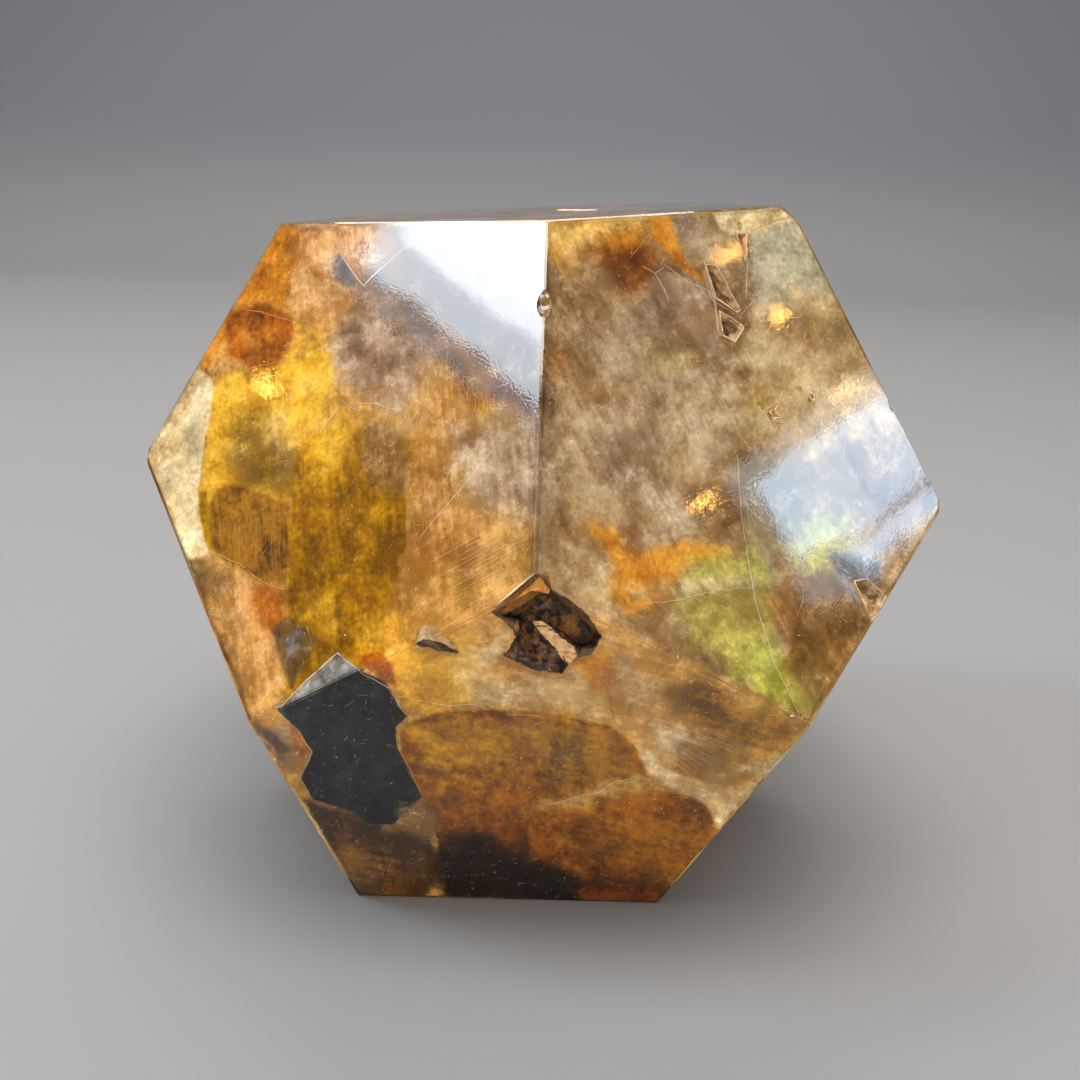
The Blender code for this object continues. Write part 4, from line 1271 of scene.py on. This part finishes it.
def veil_paint(points, number):
    """Pale wisps, and iron stain where it came in."""
    place = points / MM + 31.0 * number
    wisps = soft_noise(place + 2.0 * soft_noise(place, 9.0, 90, 2)[:, None], 5.0, 91, 6, 0.72)
    patch = soft_noise(place, 8.0, 92, 3)
    stain = between(0.0, 0.6, soft_noise(place, 10.0, 93, 2))[:, None]
    colour = np.array((224, 206, 178)) * (1.0 - stain) + np.array((200, 122, 30)) * stain
    hides = 0.55 * between(0.0, 1.2, wisps) + 0.3 * between(0.1, 0.9, patch)
    return colour / 255.0, np.clip(hides, 0.0, 0.85)


def healed_fractures(stone, material):
    """Curved veils that cross the stone, each within its facets."""
    for number, (centre, direction, radius, bow) in enumerate(VEILS):
        normal = facing(*direction)
        side = normal.orthogonal().normalized()
        other = normal.cross(side)
        middle = MIDDLE + Vector(centre) * MM
        rings, spokes = 38, 130
        points, faces = [middle.copy()], []
        for turn in range(spokes):
            angle = 2.0 * math.pi * turn / spokes
            way = side * math.cos(angle) + other * math.sin(angle)
            around = Vector((math.cos(angle), math.sin(angle), number * 2.3))
            ragged = 0.75 + 0.25 * noise.noise(around * 1.5)
            reach = min(radius * ragged * MM, stone.reach_inside(middle, way, 1.2 * MM))
            for ring in range(1, rings + 1):
                far = ring / rings
                point = middle + way * reach * far
                swell = noise.fractal(point / (9.0 * MM) + Vector((number, 0, 0)), 1.0, 2.0, 3)
                point += normal * (bow * far * far + 1.6 * swell * far) * MM
                points.append(point)
        for turn in range(spokes):
            after = (turn + 1) % spokes
            faces.append((0, 1 + turn * rings, 1 + after * rings))
            for ring in range(rings - 1):
                a, b = 1 + turn * rings + ring, 1 + after * rings + ring
                faces.append((a, a + 1, b + 1, b))
        good = [stone.holds(p, 0.3 * MM) and stone.depth_below_facets(p) > 0.3 * MM for p in points]
        faces = [face for face in faces if all(good[corner] for corner in face)]
        made = add_mesh(f"healed_fracture_{number + 1}", points, faces, material)
        stain(made, *veil_paint(np.array(points), number))


def cloudy_heart(stone, material):
    """The cloudy, stained middle of the stone."""
    ball = bmesh.new()
    bmesh.ops.create_icosphere(ball, subdivisions=5, radius=1.0)
    for vertex in ball.verts:
        swell = noise.fractal(vertex.co * 1.1 + Vector((4.0, 1.0, 7.0)), 1.0, 2.0, 4)
        vertex.co *= (13.5 + 5.0 * swell) * MM
        vertex.co.z *= 0.9
        vertex.co += MIDDLE + Vector((-1.0, 2.0, -2.0)) * MM
    points = [vertex.co.copy() for vertex in ball.verts]
    faces = [[vertex.index for vertex in face.verts] for face in ball.faces]
    ball.free()
    made = add_mesh("cloudy_heart", points, faces, material)
    points = np.array(points)
    around = np.stack((np.arctan2(points[:, 1], points[:, 0]) * 13.0, points[:, 2] / MM), 1)
    colour, hides = painted("heart", around / PIXEL, points, 1.5)
    stain(made, colour, hides * 0.9)


def panel(name, azimuth, elevation, distance, box, colour, radiance):
    """A lamp with a flat face, aimed at the middle of the stone, all in millimetres and degrees.

    The box is its left, bottom, right and top edge on its own plane.
    """
    left, bottom, right, top = box
    lamp = bpy.data.lights.new(name, "AREA")
    lamp.shape = "RECTANGLE" if right - left > 10.0 else "ELLIPSE"
    lamp.size, lamp.size_y = (right - left) * MM, (top - bottom) * MM
    lamp.color = linear(colour)[:3]
    lamp.energy = radiance * math.pi * lamp.size * lamp.size_y
    made = bpy.data.objects.new(name, lamp)
    bpy.context.scene.collection.objects.link(made)
    away = facing(azimuth, elevation)
    side = Vector((0.0, 0.0, 1.0)).cross(away).normalized()
    other = away.cross(side)
    aside, above = (left + right) / 2.0, (bottom + top) / 2.0
    place = MIDDLE + (away * distance + side * aside + other * above) * MM
    made.matrix_world = Matrix.Translation(place) @ Matrix((side, other, away)).transposed().to_4x4()


def lay_floor():
    """A floor that rises in a smooth bend behind the stone."""
    sweep = bmesh.new()
    depth, rise, bend = 0.9, 1.2, 0.35
    profile = [(-1.2, 0.0), (depth - bend, 0.0)]
    for step in range(1, 13):
        turn = math.radians(90.0 * step / 12.0)
        profile.append((depth - bend + bend * math.sin(turn), bend - bend * math.cos(turn)))
    profile.append((depth, rise))
    rows = [[sweep.verts.new((x, y, z)) for x in (-2.0, 2.0)] for y, z in profile]
    for low, high in zip(rows, rows[1:]):
        sweep.faces.new((low[0], low[1], high[1], high[0]))
    mesh = bpy.data.meshes.new("floor")
    sweep.to_mesh(mesh)
    sweep.free()
    mesh.shade_smooth()
    mesh.materials.append(floor_material())
    floor = bpy.data.objects.new("floor", mesh)
    floor.location.z = -0.05 * MM
    bpy.context.scene.collection.objects.link(floor)


def paint_sky():
    """A soft grey sky, a little lighter above."""
    world = bpy.data.worlds.new("studio")
    bpy.context.scene.world = world
    world.use_nodes = True
    nodes, links = world.node_tree.nodes, world.node_tree.links
    sky = nodes["Background"]
    gradient = nodes.new("ShaderNodeTexGradient")
    place = nodes.new("ShaderNodeTexCoord")
    turned = nodes.new("ShaderNodeMapping")
    turned.inputs["Rotation"].default_value = (0.0, math.radians(90.0), 0.0)
    tint = nodes.new("ShaderNodeMix")
    tint.data_type = "RGBA"
    tint.inputs[6].default_value = linear((96, 98, 102))
    tint.inputs[7].default_value = linear((150, 152, 156))
    links.new(place.outputs["Generated"], turned.inputs["Vector"])
    links.new(turned.outputs[0], gradient.inputs[0])
    links.new(gradient.outputs["Fac"], tint.inputs[0])
    links.new(tint.outputs[2], sky.inputs["Color"])
    sky.inputs["Strength"].default_value = 0.8


def place_camera():
    """The camera, as it stood for the photograph."""
    lens = bpy.data.cameras.new("camera")
    lens.lens, lens.sensor_width = LENS, SENSOR
    lens.clip_start = 0.005
    camera = bpy.data.objects.new("camera", lens)
    bpy.context.scene.collection.objects.link(camera)
    right, up, forward = camera_axes()
    turn = Matrix((right, up, -forward)).transposed().to_4x4()
    camera.matrix_world = Matrix.Translation(CAMERA_AT) @ turn
    bpy.context.scene.camera = camera


def set_stage():
    """Floor, lamps, sky and camera, and how far light is followed."""
    lay_floor()
    for lamp in LAMPS:
        panel(*lamp)
    paint_sky()
    place_camera()
    bpy.context.scene.view_settings.view_transform = "Standard"
    cycles = bpy.context.scene.cycles
    cycles.use_denoising = True
    cycles.use_light_tree = False
    cycles.caustics_reflective = False
    cycles.caustics_refractive = False
    cycles.max_bounces = 7
    cycles.diffuse_bounces = 1
    cycles.glossy_bounces = 3
    cycles.transmission_bounces = 6
    cycles.transparent_max_bounces = 24


def main():
    noise.seed_set(SEED)
    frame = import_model()
    stone = Stone(frame["nodes"][STONE])
    dress_crystal(stone)
    material = stain_material()
    for facet in stone.facets.values():
        for sheet in SHEETS:
            stain_sheet(stone, facet, material, *sheet)
    healed_fractures(stone, material)
    cloudy_heart(stone, material)
    hollow_lining(stone)
    hollow_rims(stone)
    ledges(stone)
    fracture_lines(stone)
    needles_and_flecks(stone, random.Random(SEED))
    set_stage()


main()
